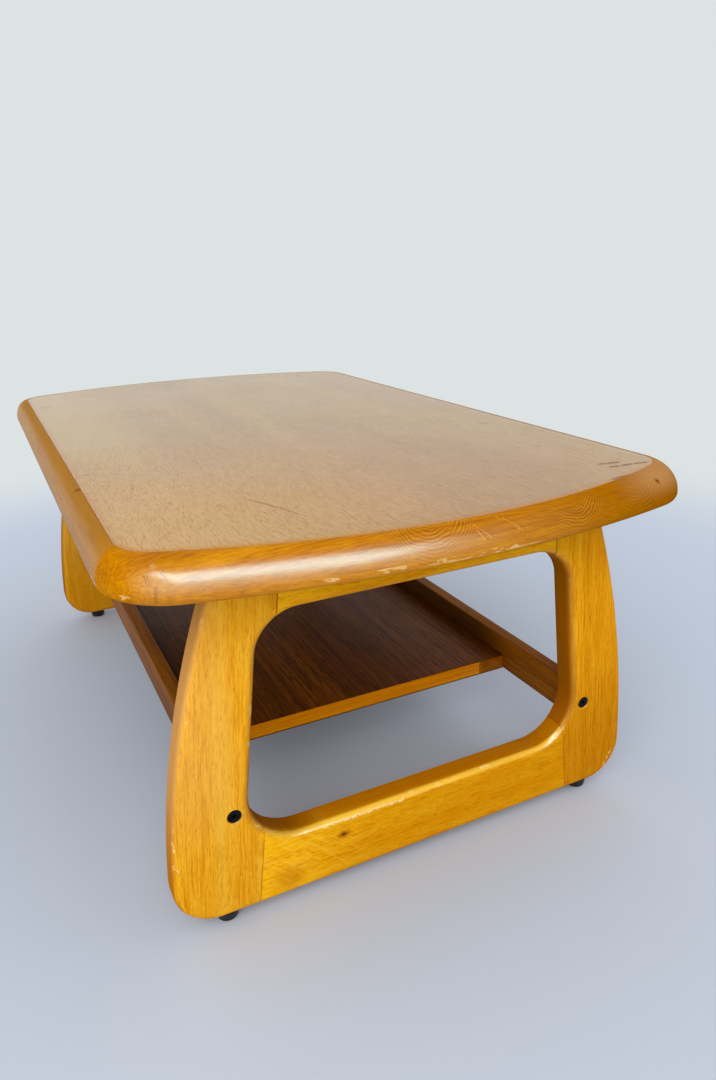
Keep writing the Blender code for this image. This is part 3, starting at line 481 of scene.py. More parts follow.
def fieldVeneer():
    marks = fieldMarks
    wood = growWood("field_veneer_wood", fieldLook)
    at = wood["at"]
    level = marks["level"]
    length, across = parted(at)[:2]
    rag = speckle(at, (160, 160, 160), 2.0)
    shaken = moved(at, stretch(speckle(at, (40, 40, 40), 2.0, 1), (0.003, 0.003, 0)))
    shaken = moved(shaken, (-0.0015, -0.0015, 0))  # so that no scratch is dead straight
    cloud = speckle(at, (6, 6, 6), 2.0)
    stain(wood, ease(cloud, 0.48, 0.70) * 0.35, marks["pinkTone"])
    stain(wood, ease(cloud, 0.52, 0.30) * 0.30, marks["greenTone"])
    near = ease(length, -0.15, 0.35) * ease(across, -0.28, -0.12)
    darken(wood, near * ease(across, 0.32, 0.12), marks["nearTone"])
    stain(wood, ease(across, -0.12, -0.27) * ease(length, 0.25, -0.10) * 0.4, marks["leftTone"])
    rim = at.node("Attribute", {"attribute_name": "rim"}, {}, "Fac")
    warmReach = reach(at, (*marks["warm"], level))
    stain(wood, ease(warmReach, 0.42, 0.02) * 0.5, marks["warmTone"])
    stain(wood, ease(rim + (rag - 0.5) * 0.5, 0.25, 1.05) * 0.8, marks["rimTone"])
    gaps = wood["pores"] * ease(warmReach, 0.40, 0.08)
    stain(wood, gaps * 0.26, fieldLook["poreTone"])
    coat = (1 - wood["pores"] * 0.25 - gaps * 0.4) * fieldLook["coat"]  # pores break the lacquer
    for kind, share in (("dark", 0.75), ("pale", 0.35)):
        for start, finish, width in marks[kind + "Scratches"]:
            line = stroke(shaken, (*start, level), (*finish, level), width) * ease(rag, 0.3, 0.5)
            stain(wood, line * share, marks[kind + "Tone"])
            coat = coat * (1 - line * 0.9)
            wood["height"] = wood["height"] - line * marks["scratchDepth"]
    for spot in marks["spots"]:
        stain(wood, ease(reach(shaken, (*spot, level)), 0.0024, 0.0010) * 0.7, marks["darkTone"])
    return closeWood(wood, {**fieldLook, "coat": coat})


fieldSkin = fieldVeneer()


# Rails, stiles and shelf: brown and dark stained wood
brownLook = {**lippingLook, "shift": (0.9, 0.2, 0.6), "poreTone": tone(52, 24, 6), "poreDepth": 0.6,
             "patchTone": tone(88, 44, 2), "coat": 0.08, "coatRough": 0.3, "rough": 0.5, "sheen": 0.05,
             "tones": threeTones((103, 53, 0), (167, 103, 10), (135, 77, 1))}
stileLook = {**brownLook, "shift": (0.4, 0.7, 0.1),
             "tones": threeTones((128, 69, 0), (194, 121, 12), (159, 90, 1))}
darkLook = {**fieldLook, "shift": (0.4, 0.9, 0.2), "poreTone": tone(24, 10, 0), "poreDepth": 0.7,
            "bands": (1.1, 22, 22), "bandDepth": 0.6, "pores": (40, 760, 760), "poreCut": (0.53, 0.66),
            "fibre": (5, 400, 400), "patches": (1.4, 4, 4), "patchTone": tone(60, 29, 4),
            "coat": 0.08, "coatRough": 0.3, "sheen": 0.1, "rough": 0.5,
            "tones": threeTones((70, 33, 1), (140, 78, 8), (103, 53, 1)), "frontShadeTone": tone(140, 130, 120)}
shelfEdgeLook = {**lippingLook, "grain": "Y", "shift": (0.7, 0.3, 0.9), "coat": 0.15,
                 "tones": threeTones((190, 111, 0), (244, 166, 18), (221, 139, 1))}
dowelLook = {**goldenLook, "coat": 0.0, "rough": 0.7, "sheen": 0.3,
             "patchTone": tone(190, 150, 98), "poreTone": tone(150, 112, 66),
             "tones": threeTones((196, 158, 108), (228, 196, 150), (212, 178, 128))}
shelfPaintedShade = {"tone": tone(40, 17, 2), "share": 0.8, "above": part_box("shelf_face_veneer")[1], "blend": 0.006}


def brownWood(name, look):
    wood = growWood(name, look)
    facing = parted(wood["normal"])[1]
    length, across, height = parted(wood["at"])
    top, blend = shelfPaintedShade["above"], shelfPaintedShade["blend"]
    inwardShade = ease(facing * across * -5, 0.3, 0.9)  # painted shade on the faces turned towards the shelf, under the top
    shaded = ease(height, top.z - blend, top.z)
    shaded = shaded * ease(unsigned(length), top.x + 6 * blend, top.x - 12 * blend)
    stain(wood, inwardShade * shaded * shelfPaintedShade["share"], shelfPaintedShade["tone"])
    return closeWood(wood, look)


def darkVeneer(name, look):
    wood = growWood(name, look)
    # painted shade, darker towards the front of the shelf
    darken(wood, ease(parted(wood["at"])[1], 0.12, -0.12) * 0.42, look["frontShadeTone"])
    return closeWood(wood, look)


brownSkin = brownWood("brown_rail_wood", brownLook)
stileSkin = plainWood("stile_wood", stileLook)
darkSkin = darkVeneer("dark_shelf_veneer", darkLook)
shelfEdgeSkin = plainWood("shelf_edge_wood", shelfEdgeLook)
dowelSkin = plainWood("raw_dowel_wood", dowelLook)
print("veneer, brown and dark wood ready")


# Core board, metal and plastic
def coreBoard():  # pressed chips, never lacquered
    made = newSkin("pressed_core_board")
    chips = made["at"].node("TexVoronoi", {}, {"Vector": made["at"], "Scale": 320.0}, "Color")
    share = chips.node("SeparateColor", {}, {"Color": chips})
    colour = mixed(share, tone(168, 130, 84), tone(214, 182, 134))
    return setShader(made, {"Base Color": colour, "Roughness": share * 0.15 + 0.75,
                            "Normal": bumped(share, 0.6, 0.0004)})


def metal(name, dull, bright, roughness):  # plated or blacked steel, faintly brushed
    made = newSkin(name)
    brushed = speckle(made["at"], (900, 900, 900), 3.0)
    smudge = speckle(made["at"], (140, 140, 140), 3.0)
    colour = mixed(ease(smudge, 0.35, 0.7), dull, bright)
    return setShader(made, {"Base Color": colour, "Roughness": (brushed - 0.5) * 0.25 + roughness,
                            "Metallic": 0.9, "Normal": bumped(brushed, 0.2, 0.0002)})


def blackPlastic():  # moulded feet, dusty and scuffed
    made = newSkin("black_foot_plastic")
    grit = speckle(made["at"], (700, 700, 700), 4.0)
    dust = ease(speckle(made["at"], (110, 110, 110), 3.0), 0.45, 0.75)
    colour = mixed(dust * 0.35, tone(10, 10, 11), tone(44, 42, 40))
    return setShader(made, {"Base Color": colour, "Roughness": dust * 0.25 + 0.42,
                            "Normal": bumped(grit, 0.35, 0.0003)})


coreSkin = coreBoard()
boltSkin = metal("blacked_steel", tone(14, 14, 15), tone(34, 34, 36), 0.42)
zincSkin = metal("zinc_plated_steel", tone(150, 150, 146), tone(198, 198, 194), 0.35)
footSkin = blackPlastic()
print("metal and plastic ready")


# Making pieces
def meshFrom(bm, name):
    mesh = bpy.data.meshes.new(name)
    bm.to_mesh(mesh)
    bm.free()
    return mesh


def placed(name, data):
    made = bpy.data.objects.new(name, data)
    bpy.context.scene.collection.objects.link(made)
    return made


def finishPiece(name, bm, skin, slotName, *nodeNames, sharpAt=35):
    bmesh.ops.remove_doubles(bm, verts=bm.verts, dist=1e-6)
    bmesh.ops.recalc_face_normals(bm, faces=bm.faces)
    mesh = meshFrom(bm, name)
    mesh.materials.append(skin)
    mesh.shade_smooth()
    mesh.set_sharp_from_angle(angle=math.radians(sharpAt))
    made = placed(name, mesh)
    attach(made, "root")
    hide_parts(*nodeNames)
    return made


def arcPoints(centre, radius, start, finish, steps):
    turns = [start + (finish - start) * step / steps for step in range(steps + 1)]
    return [Vector((centre[0] + radius * math.cos(t), centre[1] + radius * math.sin(t))) for t in turns]


def wire(bm, points):  # a closed loop of edges through points
    verts = [bm.verts.new(point) for point in points]
    return verts, [bm.edges.new(pair) for pair in zip(verts, verts[1:] + verts[:1])]


def vertsIn(geom):
    return [item for item in geom if isinstance(item, bmesh.types.BMVert)]


def growLoop(bm, loop):  # extrude a loop of edges: the new loop and its vertices
    grown = bmesh.ops.extrude_edge_only(bm, edges=loop)["geom"]
    edges = [item for item in grown if isinstance(item, bmesh.types.BMEdge)]
    return [edge for edge in edges if edge.is_boundary], vertsIn(grown)


def thicken(bm, faces, vec):  # pull a copy of flat faces out, with walls
    grown = bmesh.ops.extrude_face_region(bm, geom=faces)["geom"]
    bmesh.ops.translate(bm, verts=vertsIn(grown), vec=vec)


def roundOff(bm, geom, offset, segments, affect="EDGES", **more):
    bmesh.ops.bevel(bm, geom=geom, offset=offset, segments=segments, profile=0.5, affect=affect,
                    material=-1, **more)


def cutOff(bm, point, normal, keepFront):  # cut by a plane and drop one side
    geom = [*bm.verts, *bm.edges, *bm.faces]
    bmesh.ops.bisect_plane(bm, geom=geom, dist=1e-7, plane_co=point, plane_no=normal,
                           clear_outer=not keepFront, clear_inner=keepFront)


def closeCuts(bm):
    rim = [edge for edge in bm.edges if edge.is_boundary]
    bmesh.ops.holes_fill(bm, edges=rim, sides=0)


def facesOn(bm, point, normal):  # faces that lie in a plane
    return [face for face in bm.faces if abs(face.normal.dot(normal)) > 0.999
            and abs((face.calc_center_median() - point).dot(normal)) < 2e-5]


def turned(profile, steps):  # spin a profile of radius and height about the z axis
    bm = bmesh.new()
    verts = [bm.verts.new((radius, 0, height)) for radius, height in profile]
    chain = [bm.edges.new(pair) for pair in zip(verts, verts[1:])]
    bmesh.ops.spin(bm, geom=verts + chain, cent=(0, 0, 0), axis=(0, 0, 1), angle=2 * math.pi, steps=steps,
                   use_merge=True)
    return bm


def standAt(bm, point, direction):  # turn z to a direction and put the origin on a point
    turn = Vector(direction).to_track_quat("Z", "Y").to_matrix().to_4x4()
    bmesh.ops.transform(bm, matrix=Matrix.Translation(point) @ turn, verts=bm.verts)


# Top: lippings all round, jointed near the corners, and the veneered field
topPlan = {"bow": 1.10, "corner": 0.075, "fieldBow": 0.69, "fieldCorner": 0.045, "ledge": 0.012,
           "veneerGap": 0.0003, "lowerRound": 0.007, "upperSteps": 18, "lowerSteps": 8, "cornerSteps": 26,
           "bowSteps": 130, "sideSteps": 150, "jointAngle": math.radians(75), "jointGap": 0.0003,
           "jointEase": 0.00025, "fieldEase": 0.0003, "rimWidth": 0.011}

chipPlan = {"fade": 0.008, "band": 0.003, "depth": 0.0006, "clear": 0.012, "ragAlong": 110, "ragUp": 300}

# chips rubbed along the lower edge: from, to, how strong
edgeChips = {
    "right": [(-0.318, -0.290, 0.55), (-0.150, -0.126, 0.9), (-0.110, -0.066, 1.0), (-0.062, -0.020, 0.72),
              (-0.012, 0.06, 0.62)],
    "front": [(0.40, 0.48, 0.9), (0.10, 0.16, 0.55), (-0.30, -0.26, 0.5)],
    "left": [(-0.20, -0.12, 0.6), (0.05, 0.13, 0.7)],
    "back": [(-0.35, -0.27, 0.6), (0.02, 0.08, 0.5), (0.38, 0.47, 0.7)]}


class Barrel:  # straight sides, bowed ends, round corners
    def __init__(self, halfLength, halfWidth, bow, corner):
        self.corner, self.bow = corner, bow
        self.cornerY = halfWidth - corner
        self.bowX = halfLength - bow
        span = math.sqrt((bow - corner) ** 2 - self.cornerY ** 2)
        self.cornerX = self.bowX + span
        self.turn = math.atan2(self.cornerY, span)

    def loop(self, plan):
        steps, quarter = plan["cornerSteps"], math.pi / 2
        half = arcPoints((self.cornerX, -self.cornerY), self.corner, -quarter, -self.turn, steps)
        half += arcPoints((self.bowX, 0), self.bow, -self.turn, self.turn, plan["bowSteps"])[1:-1]
        half += arcPoints((self.cornerX, self.cornerY), self.corner, self.turn, quarter, steps)
        run = -2 * self.cornerX / plan["sideSteps"]
        half += [half[-1] + Vector((run * step, 0)) for step in range(1, plan["sideSteps"])]
        return half + [-point for point in half]


def topRing(plan):  # all four lippings as one ring, and the outline of the field
    fieldLow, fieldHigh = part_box("top_face_veneer")
    gap, ledge = plan["veneerGap"], plan["ledge"]
    rim = Barrel(cadHigh.x, cadHigh.y, plan["bow"], plan["corner"])
    field = Barrel(fieldHigh.x + gap, fieldHigh.y + gap, plan["fieldBow"], plan["fieldCorner"])
    core = Barrel(fieldHigh.x + gap - ledge, fieldHigh.y + gap - ledge, plan["fieldBow"] - ledge,
                  plan["fieldCorner"] - ledge)
    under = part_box("top_backing_veneer")[0].z
    waist = under + plan["lowerRound"]
    bm = bmesh.new()
    rimAt, fieldAt, coreAt = [bm.verts.layers.float_vector.new(key) for key in ("rim", "field", "core")]
    loops = [barrel.loop(plan) for barrel in (rim, field, core)]
    verts, edges = wire(bm, [(*point, waist) for point in loops[0]])
    for vert, *points in zip(verts, *loops):
        vert[rimAt], vert[fieldAt], vert[coreAt] = [point.to_3d() for point in points]
    stations = []
    for step in range(1, plan["upperSteps"] + 1):  # wide round up to the field
        turn = step / plan["upperSteps"] * math.pi / 2
        stations.append(("upper", math.cos(turn), waist + (cadHigh.z - waist) * math.sin(turn)))
    stations += [("upper", 0.0, fieldLow.z - gap), ("core", 0.0, fieldLow.z - gap), ("core", 0.0, under)]
    for step in range(plan["lowerSteps"]):  # small round up from the underside
        turn = (1 - step / plan["lowerSteps"]) * math.pi / 2
        inset = plan["lowerRound"] * (1 - math.cos(turn))
        stations.append(("lower", inset, waist - plan["lowerRound"] * math.sin(turn)))
    loop = edges
    for kind, amount, height in stations:
        loop, verts = growLoop(bm, loop)
        for vert in verts:
            if kind == "upper":
                flat = vert[fieldAt].lerp(vert[rimAt], amount)
            elif kind == "core":
                flat = vert[coreAt].copy()
            else:
                flat = vert[rimAt] + (vert[fieldAt] - vert[rimAt]).normalized() * amount
            vert.co = flat + Vector((0, 0, height))
    bmesh.ops.bridge_loops(bm, edges=loop + edges)
    return bm, field


def rubEdge(bm, name, plan):  # where the lower edge has lost its lacquer, and is pressed in
    wornAt = bm.verts.layers.float.new("worn")
    along = 1 if name in ends else 0
    for vert in bm.verts:
        run, height = vert.co[along], vert.co.z
        worn = 0.0
        for start, finish, strength in edgeChips[name]:
            inside = min(run - start, finish - run) / plan["fade"]
            worn = max(worn, min(max(inside, 0.0), 1.0) * strength)
        outside = vert.normal.xy.length > 0.3 and height < cadHigh.z - plan["clear"]
        vert[wornAt] = worn if outside else 0.0
        band = math.exp(-((height - lippingMarks["chipHeight"]) / plan["band"]) ** 2)
        rag = 0.6 + noise.noise(Vector((run * plan["ragAlong"], height * plan["ragUp"], 3.1)))
        vert.co -= vert.normal * vert[wornAt] * band * max(rag, 0.0) * plan["depth"]


def buildLippings(plan):
    ring, field = topRing(plan)
    bmesh.ops.recalc_face_normals(ring, faces=ring.faces)
    angle = plan["jointAngle"]

    def joint(endSign, sideSign, keepFront):  # the plane on one side of a saw cut
        point = Vector((endSign * field.cornerX, sideSign * field.cornerY, 0))
        normal = Vector((endSign * math.sin(angle), -sideSign * math.cos(angle), 0))
        return point + normal * plan["jointGap"] / 2 * (1 if keepFront else -1), normal, keepFront

    cuts = {name: [joint(sign, side, True) for side in sides.values()] for name, sign in ends.items()}
    for name, side in sides.items():
        cuts[name] = [joint(sign, side, False) for sign in ends.values()]
    for name, planes in cuts.items():
        bm = ring.copy()
        for plane in planes:
            cutOff(bm, *plane)
        if name in sides:  # drop the opposite side
            normal = Vector((0, sides[name], 0))
            cutOff(bm, Vector((0, 0, 0)) + normal * plan["jointGap"] / 2, normal, True)
        closeCuts(bm)
        bmesh.ops.recalc_face_normals(bm, faces=bm.faces)
        bm.normal_update()
        caps = [face for point, normal, keepFront in planes for face in facesOn(bm, point, normal)]
        capEdges = dict.fromkeys(edge for face in caps for edge in face.edges)  # each edge once, in order
        roundOff(bm, list(capEdges), plan["jointEase"], 1)
        bm.normal_update()
        rubEdge(bm, name, chipPlan)
        skin = endLippingSkin if name in ends else sideLippingSkin
        finishPiece("lipping_" + name, bm, skin, "lipping_wood", "top_lipping_" + name, sharpAt=50)
    ring.free()


def buildField(plan):
    low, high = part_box("top_face_veneer")
    gap = plan["veneerGap"]
    bm = bmesh.new()
    rimAt = bm.verts.layers.float.new("rim")
    outline = Barrel(high.x, high.y, plan["fieldBow"] - gap, plan["fieldCorner"] - gap)
    edges = wire(bm, [(*point, low.z) for point in outline.loop(plan)])[1]
    thicken(bm, bmesh.ops.contextual_create(bm, geom=edges)["faces"], (0, 0, high.z - low.z))
    bmesh.ops.recalc_face_normals(bm, faces=bm.faces)
    upper = [face for face in bm.faces if face.normal.z > 0.9]
    bmesh.ops.inset_region(bm, faces=upper, thickness=plan["rimWidth"], use_even_offset=True)
    middle = (low.z + high.z) / 2
    rim = [edge for edge in bm.edges if edge.calc_face_angle(0) > 1
           and min(vert.co.z for vert in edge.verts) > middle]
    roundOff(bm, rim, plan["fieldEase"], 2)
    bm.normal_update()
    inner = max((face for face in bm.faces if face.normal.z > 0.9), key=lambda face: face.calc_area())
    inside = set(inner.verts)
    for vert in bm.verts:  # 1 on the rim, for the worn edge of the lacquer
        vert[rimAt] = 0.0 if vert in inside else 1.0
    finishPiece("field_veneer", bm, fieldSkin, "field_veneer", "top_face_veneer")


buildLippings(topPlan)
buildField(topPlan)
print("top built")


# End frames: a looped blank, cut at the glue seams, rounded over on every long edge
loopPlan = {"halfWidth": 0.2873, "bow": 1.0, "widestAt": 0.020, "corner": 0.048, "openTop": 0.3372,
            "openBase": 0.087, "openTopHalf": 0.180, "openBaseHalf": 0.209, "topCorner": 0.045,
            "baseCorner": 0.055, "seamInset": 0.017, "seamGap": 0.0003, "round": 0.010, "roundSteps": 9,
            "arcSteps": 22, "bowSteps": 40}
holePlan = {"steps": 48, "boltClear": 0.0007, "boltSink": 0.0066, "mouthFlare": 0.0006, "boltRise": 0.01,
            "screwClear": 0.0003, "screwSink": 0.022, "screwRise": 0.004}


def loopWires(bm, plan, base, top):  # outer edge and opening of an end frame, in y and z
    bowY = plan["halfWidth"] - plan["bow"]
    cornerZ = base + plan["corner"]
    drop = cornerZ - plan["widestAt"]
    span = math.sqrt((plan["bow"] - plan["corner"]) ** 2 - drop ** 2)
    turn = math.atan2(drop, span)
    upper = math.asin((top - plan["widestAt"]) / plan["bow"])
    half = arcPoints((bowY + span, cornerZ), plan["corner"], -math.pi / 2, turn, plan["arcSteps"])
    half += arcPoints((bowY, plan["widestAt"]), plan["bow"], turn, upper, plan["bowSteps"])[1:]
    outer = half + [Vector((-point.x, point.y)) for point in reversed(half)]
    wire(bm, [(0, *point) for point in outer])
    openBase, openTop = plan["openBase"], plan["openTop"]
    baseHalf, topHalf = plan["openBaseHalf"], plan["openTopHalf"]
    lean = math.atan2(baseHalf - topHalf, openTop - openBase)
    square = [(-baseHalf, openBase), (baseHalf, openBase), (topHalf, openTop), (-topHalf, openTop)]
    verts = [bm.verts.new((0, *point)) for point in square]
    bm.faces.new(verts)
    for pair, radius, corner in ((verts[:2], plan["baseCorner"], math.pi / 2 - lean),
                                 (verts[2:], plan["topCorner"], math.pi / 2 + lean)):
        roundOff(bm, pair, radius / math.tan(corner / 2), plan["arcSteps"], "VERTICES")
    bmesh.ops.delete(bm, geom=bm.faces[:], context="FACES_ONLY")
    return lean


def framePiece(plan, end, kind, side):
    low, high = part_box(f"{end}_front_leg")
    bm = bmesh.new()
    lean = loopWires(bm, plan, low.z, high.z)
    bmesh.ops.triangle_fill(bm, use_beauty=True, use_dissolve=False, edges=bm.edges[:])
    seamY = plan["openTopHalf"] - plan["seamInset"]
    planes = []
    for sign in ([side] if kind == "leg" else sides.values()):
        normal = Vector((0, sign * math.cos(lean), math.sin(lean)))
        shift = plan["seamGap"] / 2 * (1 if kind == "leg" else -1)
        planes.append((Vector((0, sign * seamY, plan["openTop"])) + normal * shift, normal))
    for point, normal in planes:
        cutOff(bm, point, normal, kind == "leg")
    if kind != "leg":
        middle = Vector((0, 0, (plan["openTop"] + plan["openBase"]) / 2))
        cutOff(bm, middle, Vector((0, 0, 1)), kind == "top_rail")
    bmesh.ops.dissolve_faces(bm, faces=bm.faces[:], use_verts=False)
    bmesh.ops.dissolve_limit(bm, angle_limit=0.0005, verts=bm.verts[:], edges=bm.edges[:])
    thicken(bm, bm.faces[:], (high.x - low.x, 0, 0))
    bmesh.ops.translate(bm, verts=bm.verts, vec=(low.x, 0, 0))
    bmesh.ops.recalc_face_normals(bm, faces=bm.faces)
    planes.append((Vector((0, 0, high.z)), Vector((0, 0, 1))))  # seams and top stay square
    square = {face for plane in planes for face in facesOn(bm, *plane)}
    rounded = [edge for edge in bm.edges if abs(edge.verts[0].co.x - edge.verts[1].co.x) < 1e-6
               and not square.intersection(edge.link_faces)]
    roundOff(bm, rounded, plan["round"], plan["roundSteps"], loop_slide=False)
    return bm


def boreFrom(made, cutters):  # sink holes, then leave a plain mesh
    for bm in cutters:
        tool = placed("hole", meshFrom(bm, "hole"))
        cut = made.modifiers.new("hole", "BOOLEAN")
        cut.operation = "DIFFERENCE"
        cut.solver = "EXACT"
        cut.object = tool
        bpy.context.view_layer.update()
        graph = bpy.context.evaluated_depsgraph_get()
        mesh = bpy.data.meshes.new_from_object(made.evaluated_get(graph))
        made.modifiers.clear()
        made.data = mesh
        bpy.data.objects.remove(tool)


def turnedHole(point, direction, profile, steps):  # a cutter, open end outwards
    bm = turned(profile, steps)
    bmesh.ops.remove_doubles(bm, verts=bm.verts, dist=1e-7)
    bmesh.ops.recalc_face_normals(bm, faces=bm.faces)
    standAt(bm, point, direction)
    return bm


def boltHole(plan, end, side):
    node = f"{end}_{side}_bolt"
    low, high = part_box(node)
    legLow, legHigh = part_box(f"{end}_{side}_leg")
    sign = ends[end]
    face = legHigh.x if sign > 0 else legLow.x
    head = (high.y - low.y) / 2 + plan["boltClear"]
    flare, rise, sink = plan["mouthFlare"], plan["boltRise"], plan["boltSink"]
    profile = [(0, rise), (head + flare + rise, rise), (head + flare, 0), (head, -flare), (head, -sink),
               (0, -sink)]
    return turnedHole(Vector((face, *middleOf(node).yz)), (sign, 0, 0), profile, plan["steps"])


def screwHole(plan, end, side):  # counterbore under a top rail
    node = f"{end}_{side}_top_screw"
    low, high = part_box(node)
    radius = (high.y - low.y) / 2 + plan["screwClear"]
    rise, sink = plan["screwRise"], plan["screwSink"]
    profile = [(0, rise), (radius, rise), (radius, -sink), (0, -sink)]
    return turnedHole(Vector((*middleOf(node).xy, loopPlan["openTop"])), (0, 0, -1), profile, plan["steps"])


def buildFrames(plan):
    for end in ends:
        for side, sign in sides.items():
            name = f"{end}_{side}_leg"
            leg = framePiece(plan, end, "leg", sign)
            made = finishPiece("golden_" + name, leg, legSkins[side], "golden_wood", name)
            boreFrom(made, [boltHole(holePlan, end, side)])
        for kind in ("top_rail", "bottom_rail"):
            name = f"{end}_{kind}"
            rail = framePiece(plan, end, kind, 0)
            made = finishPiece("golden_" + name, rail, railSkin, "golden_wood", name)
            if kind == "top_rail":
                boreFrom(made, [screwHole(holePlan, end, side) for side in sides])


buildFrames(loopPlan)
print("end frames built")


# Shelf, its rails and edges: boards eased on every edge
boardSteps = 3
boardPlan = {  # easing, name, finish and slot of each board
    "front_shelf_rail": (0.0018, "rail_front", brownSkin, "brown_wood"),
    "back_shelf_rail": (0.0018, "rail_back", brownSkin, "brown_wood"),
    "shelf_front_stile": (0.0004, "stile_front", stileSkin, "brown_wood"),
    "shelf_back_stile": (0.0004, "stile_back", stileSkin, "brown_wood"),
    "shelf_right_lipping": (0.0005, "shelf_edge_right", shelfEdgeSkin, "lipping_wood"),
    "shelf_left_lipping": (0.0005, "shelf_edge_left", shelfEdgeSkin, "lipping_wood"),
    "shelf_face_veneer": (0.00025, "shelf_veneer", darkSkin, "dark_veneer"),
    "shelf_backing_veneer": (0.00025, "shelf_backing", darkSkin, "dark_veneer")}

for node, (easing, name, skin, slotName) in boardPlan.items():
    low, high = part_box(node)
    bm = bmesh.new()
    bmesh.ops.create_cube(bm, size=1.0)
    bmesh.ops.scale(bm, vec=high - low, verts=bm.verts)
    bmesh.ops.translate(bm, vec=(low + high) / 2, verts=bm.verts)
    roundOff(bm, bm.edges[:], easing, boardSteps)
    finishPiece(name, bm, skin, slotName, node)
print("shelf built")


# Bolts and feet
boltPlan = {"chamfer": 0.0007, "socket": 0.0024, "socketDepth": 0.003, "dish": 0.0045, "dishDepth": 0.0005,
            "shank": 0.003, "headDepth": 0.005, "steps": 48}
footPlan = {"round": 0.0028, "roundSteps": 8, "topEase": 0.0008, "base": 0.01125, "bore": 0.002,
            "mouth": 0.0038, "mouthDepth": 0.0015, "mouthCone": 0.0018, "steps": 48}


def buildBolt(plan, end, side):
    node = f"{end}_{side}_bolt"
    low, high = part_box(node)
    sign = ends[end]
    head = (high.y - low.y) / 2
    face = high.x if sign > 0 else low.x
    length = high.x - low.x
    bm = bmesh.new()
    bmesh.ops.create_circle(bm, segments=plan["steps"], radius=plan["dish"])
    rimEdges = bm.edges[:]
    hexagon = bmesh.ops.create_circle(bm, segments=6, radius=plan["socket"])["verts"]
    bmesh.ops.translate(bm, verts=hexagon, vec=(0, 0, -plan["dishDepth"]))
    hexEdges = [edge for edge in bm.edges if edge not in rimEdges]
    bmesh.ops.bridge_loops(bm, edges=bm.edges[:])
    floorLoop, floorVerts = growLoop(bm, hexEdges)
    bmesh.ops.translate(bm, verts=floorVerts, vec=(0, 0, plan["dishDepth"] - plan["socketDepth"]))
    bmesh.ops.contextual_create(bm, geom=floorLoop)
    chamfer, shank, under = plan["chamfer"], plan["shank"], plan["headDepth"]
    loop = rimEdges
    for radius, height in ((head - chamfer, 0), (head, -chamfer), (head, -under), (shank, -under),
                           (shank, -length)):
        loop, verts = growLoop(bm, loop)
        for vert in verts:
            vert.co = (*(vert.co.xy.normalized() * radius), height)
    bmesh.ops.contextual_create(bm, geom=loop)
    standAt(bm, Vector((face, *middleOf(node).yz)), (sign, 0, 0))
    finishPiece(f"bolt_{end}_{side}", bm, boltSkin, "black_steel", node)


def buildFoot(plan, end, side):
    node = f"{end}_{side}_foot"
    low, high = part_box(node)
    top, topRadius = high.z, (high.y - low.y) / 2
    bore, mouth, mouthDepth = plan["bore"], plan["mouth"], plan["mouthDepth"]
    profile = [(bore, top), (topRadius - plan["topEase"], top), (topRadius, top - plan["topEase"])]
    profile += arcPoints((plan["base"] - plan["round"], plan["round"]), plan["round"], 0, -math.pi / 2,
                         plan["roundSteps"])
    profile += [(mouth, 0), (mouth, mouthDepth), (bore, mouthDepth + plan["mouthCone"]), (bore, top)]
    bm = turned(profile, plan["steps"])
    bmesh.ops.translate(bm, verts=bm.verts, vec=(*middleOf(node).xy, 0))
    finishPiece(f"foot_{end}_{side}", bm, footSkin, "black_plastic", node)


for end in ends:
    for side in sides:
        buildBolt(boltPlan, end, side)
        buildFoot(footPlan, end, side)
print("bolts and feet built")


# Hidden pieces keep their solids and take a finish
hiddenSkins = {"top_core": coreSkin, "shelf_core": coreSkin, "top_backing_veneer": brownSkin,
               "tenon": dowelSkin, "dowel": dowelSkin, "barrel_nut": zincSkin, "screw": zincSkin}
for node, solid in cad.items():
    for ending, skin in hiddenSkins.items():
        if node.endswith(ending):
            solid.data.materials.clear()
            solid.data.materials.append(skin)
print("hidden pieces finished")


# Stage, light and camera
stagePlan = {"floor": tone(201, 211, 226), "fleck": tone(168, 176, 188), "background": tone(221, 227, 227),
             "fadeFrom": 1.0, "fadeTo": 1.75, "floorRadius": 14.0, "floorSteps": 96,
             "ambient": 0.76, "ambientTone": (0.97, 0.98, 1.0, 1.0)}
lamps = {
    "window": {"at": (2.2, -1.4, 1.6), "aim": (0.35, -0.1, 0.25), "size": (2.9, 2.1), "power": 42, "roll": 0,
               "tone": (1.0, 0.98, 0.95)},
    "back": {"at": (0.5, 2.6, 0.8), "aim": (0.1, 0.0, 0.1), "size": (2.6, 1.0), "power": 10, "roll": 0,
             "tone": (0.95, 0.98, 1.0)},
    "far": {"at": (-2.6, 0.2, 0.7), "aim": (0.0, 0.0, 0.1), "size": (2.6, 1.0), "power": 14, "roll": 0,
            "tone": (0.95, 0.98, 1.0)},
    "card": {"at": (2.1, -0.36, 1.82), "aim": (0.5, -0.1, 0.4), "size": (4.1, 0.8), "power": 225, "roll": -48,
             "tone": (0.47, 0.91, 1.09),
             "glossOf": ("lipping_right", "golden_right_bottom_rail", "golden_right_front_leg",
                         "golden_right_back_leg")}}
cameraPlan = {"at": (1.0577, -0.3792, 0.6433), "heading": 154.174, "down": 19.826, "roll": 1.422,
              "focal": 782.7, "imageHeight": 1080, "sensor": 36}


def seenRays(root):  # 1 for rays that should see the pale background
    kinds = ("Is Camera Ray", "Is Glossy Ray", "Is Transmission Ray")
    camera, glossy, through = [root.node("LightPath", {}, {}, kind) for kind in kinds]
    return root.sum("MAXIMUM", root.sum("MAXIMUM", camera, glossy), through)


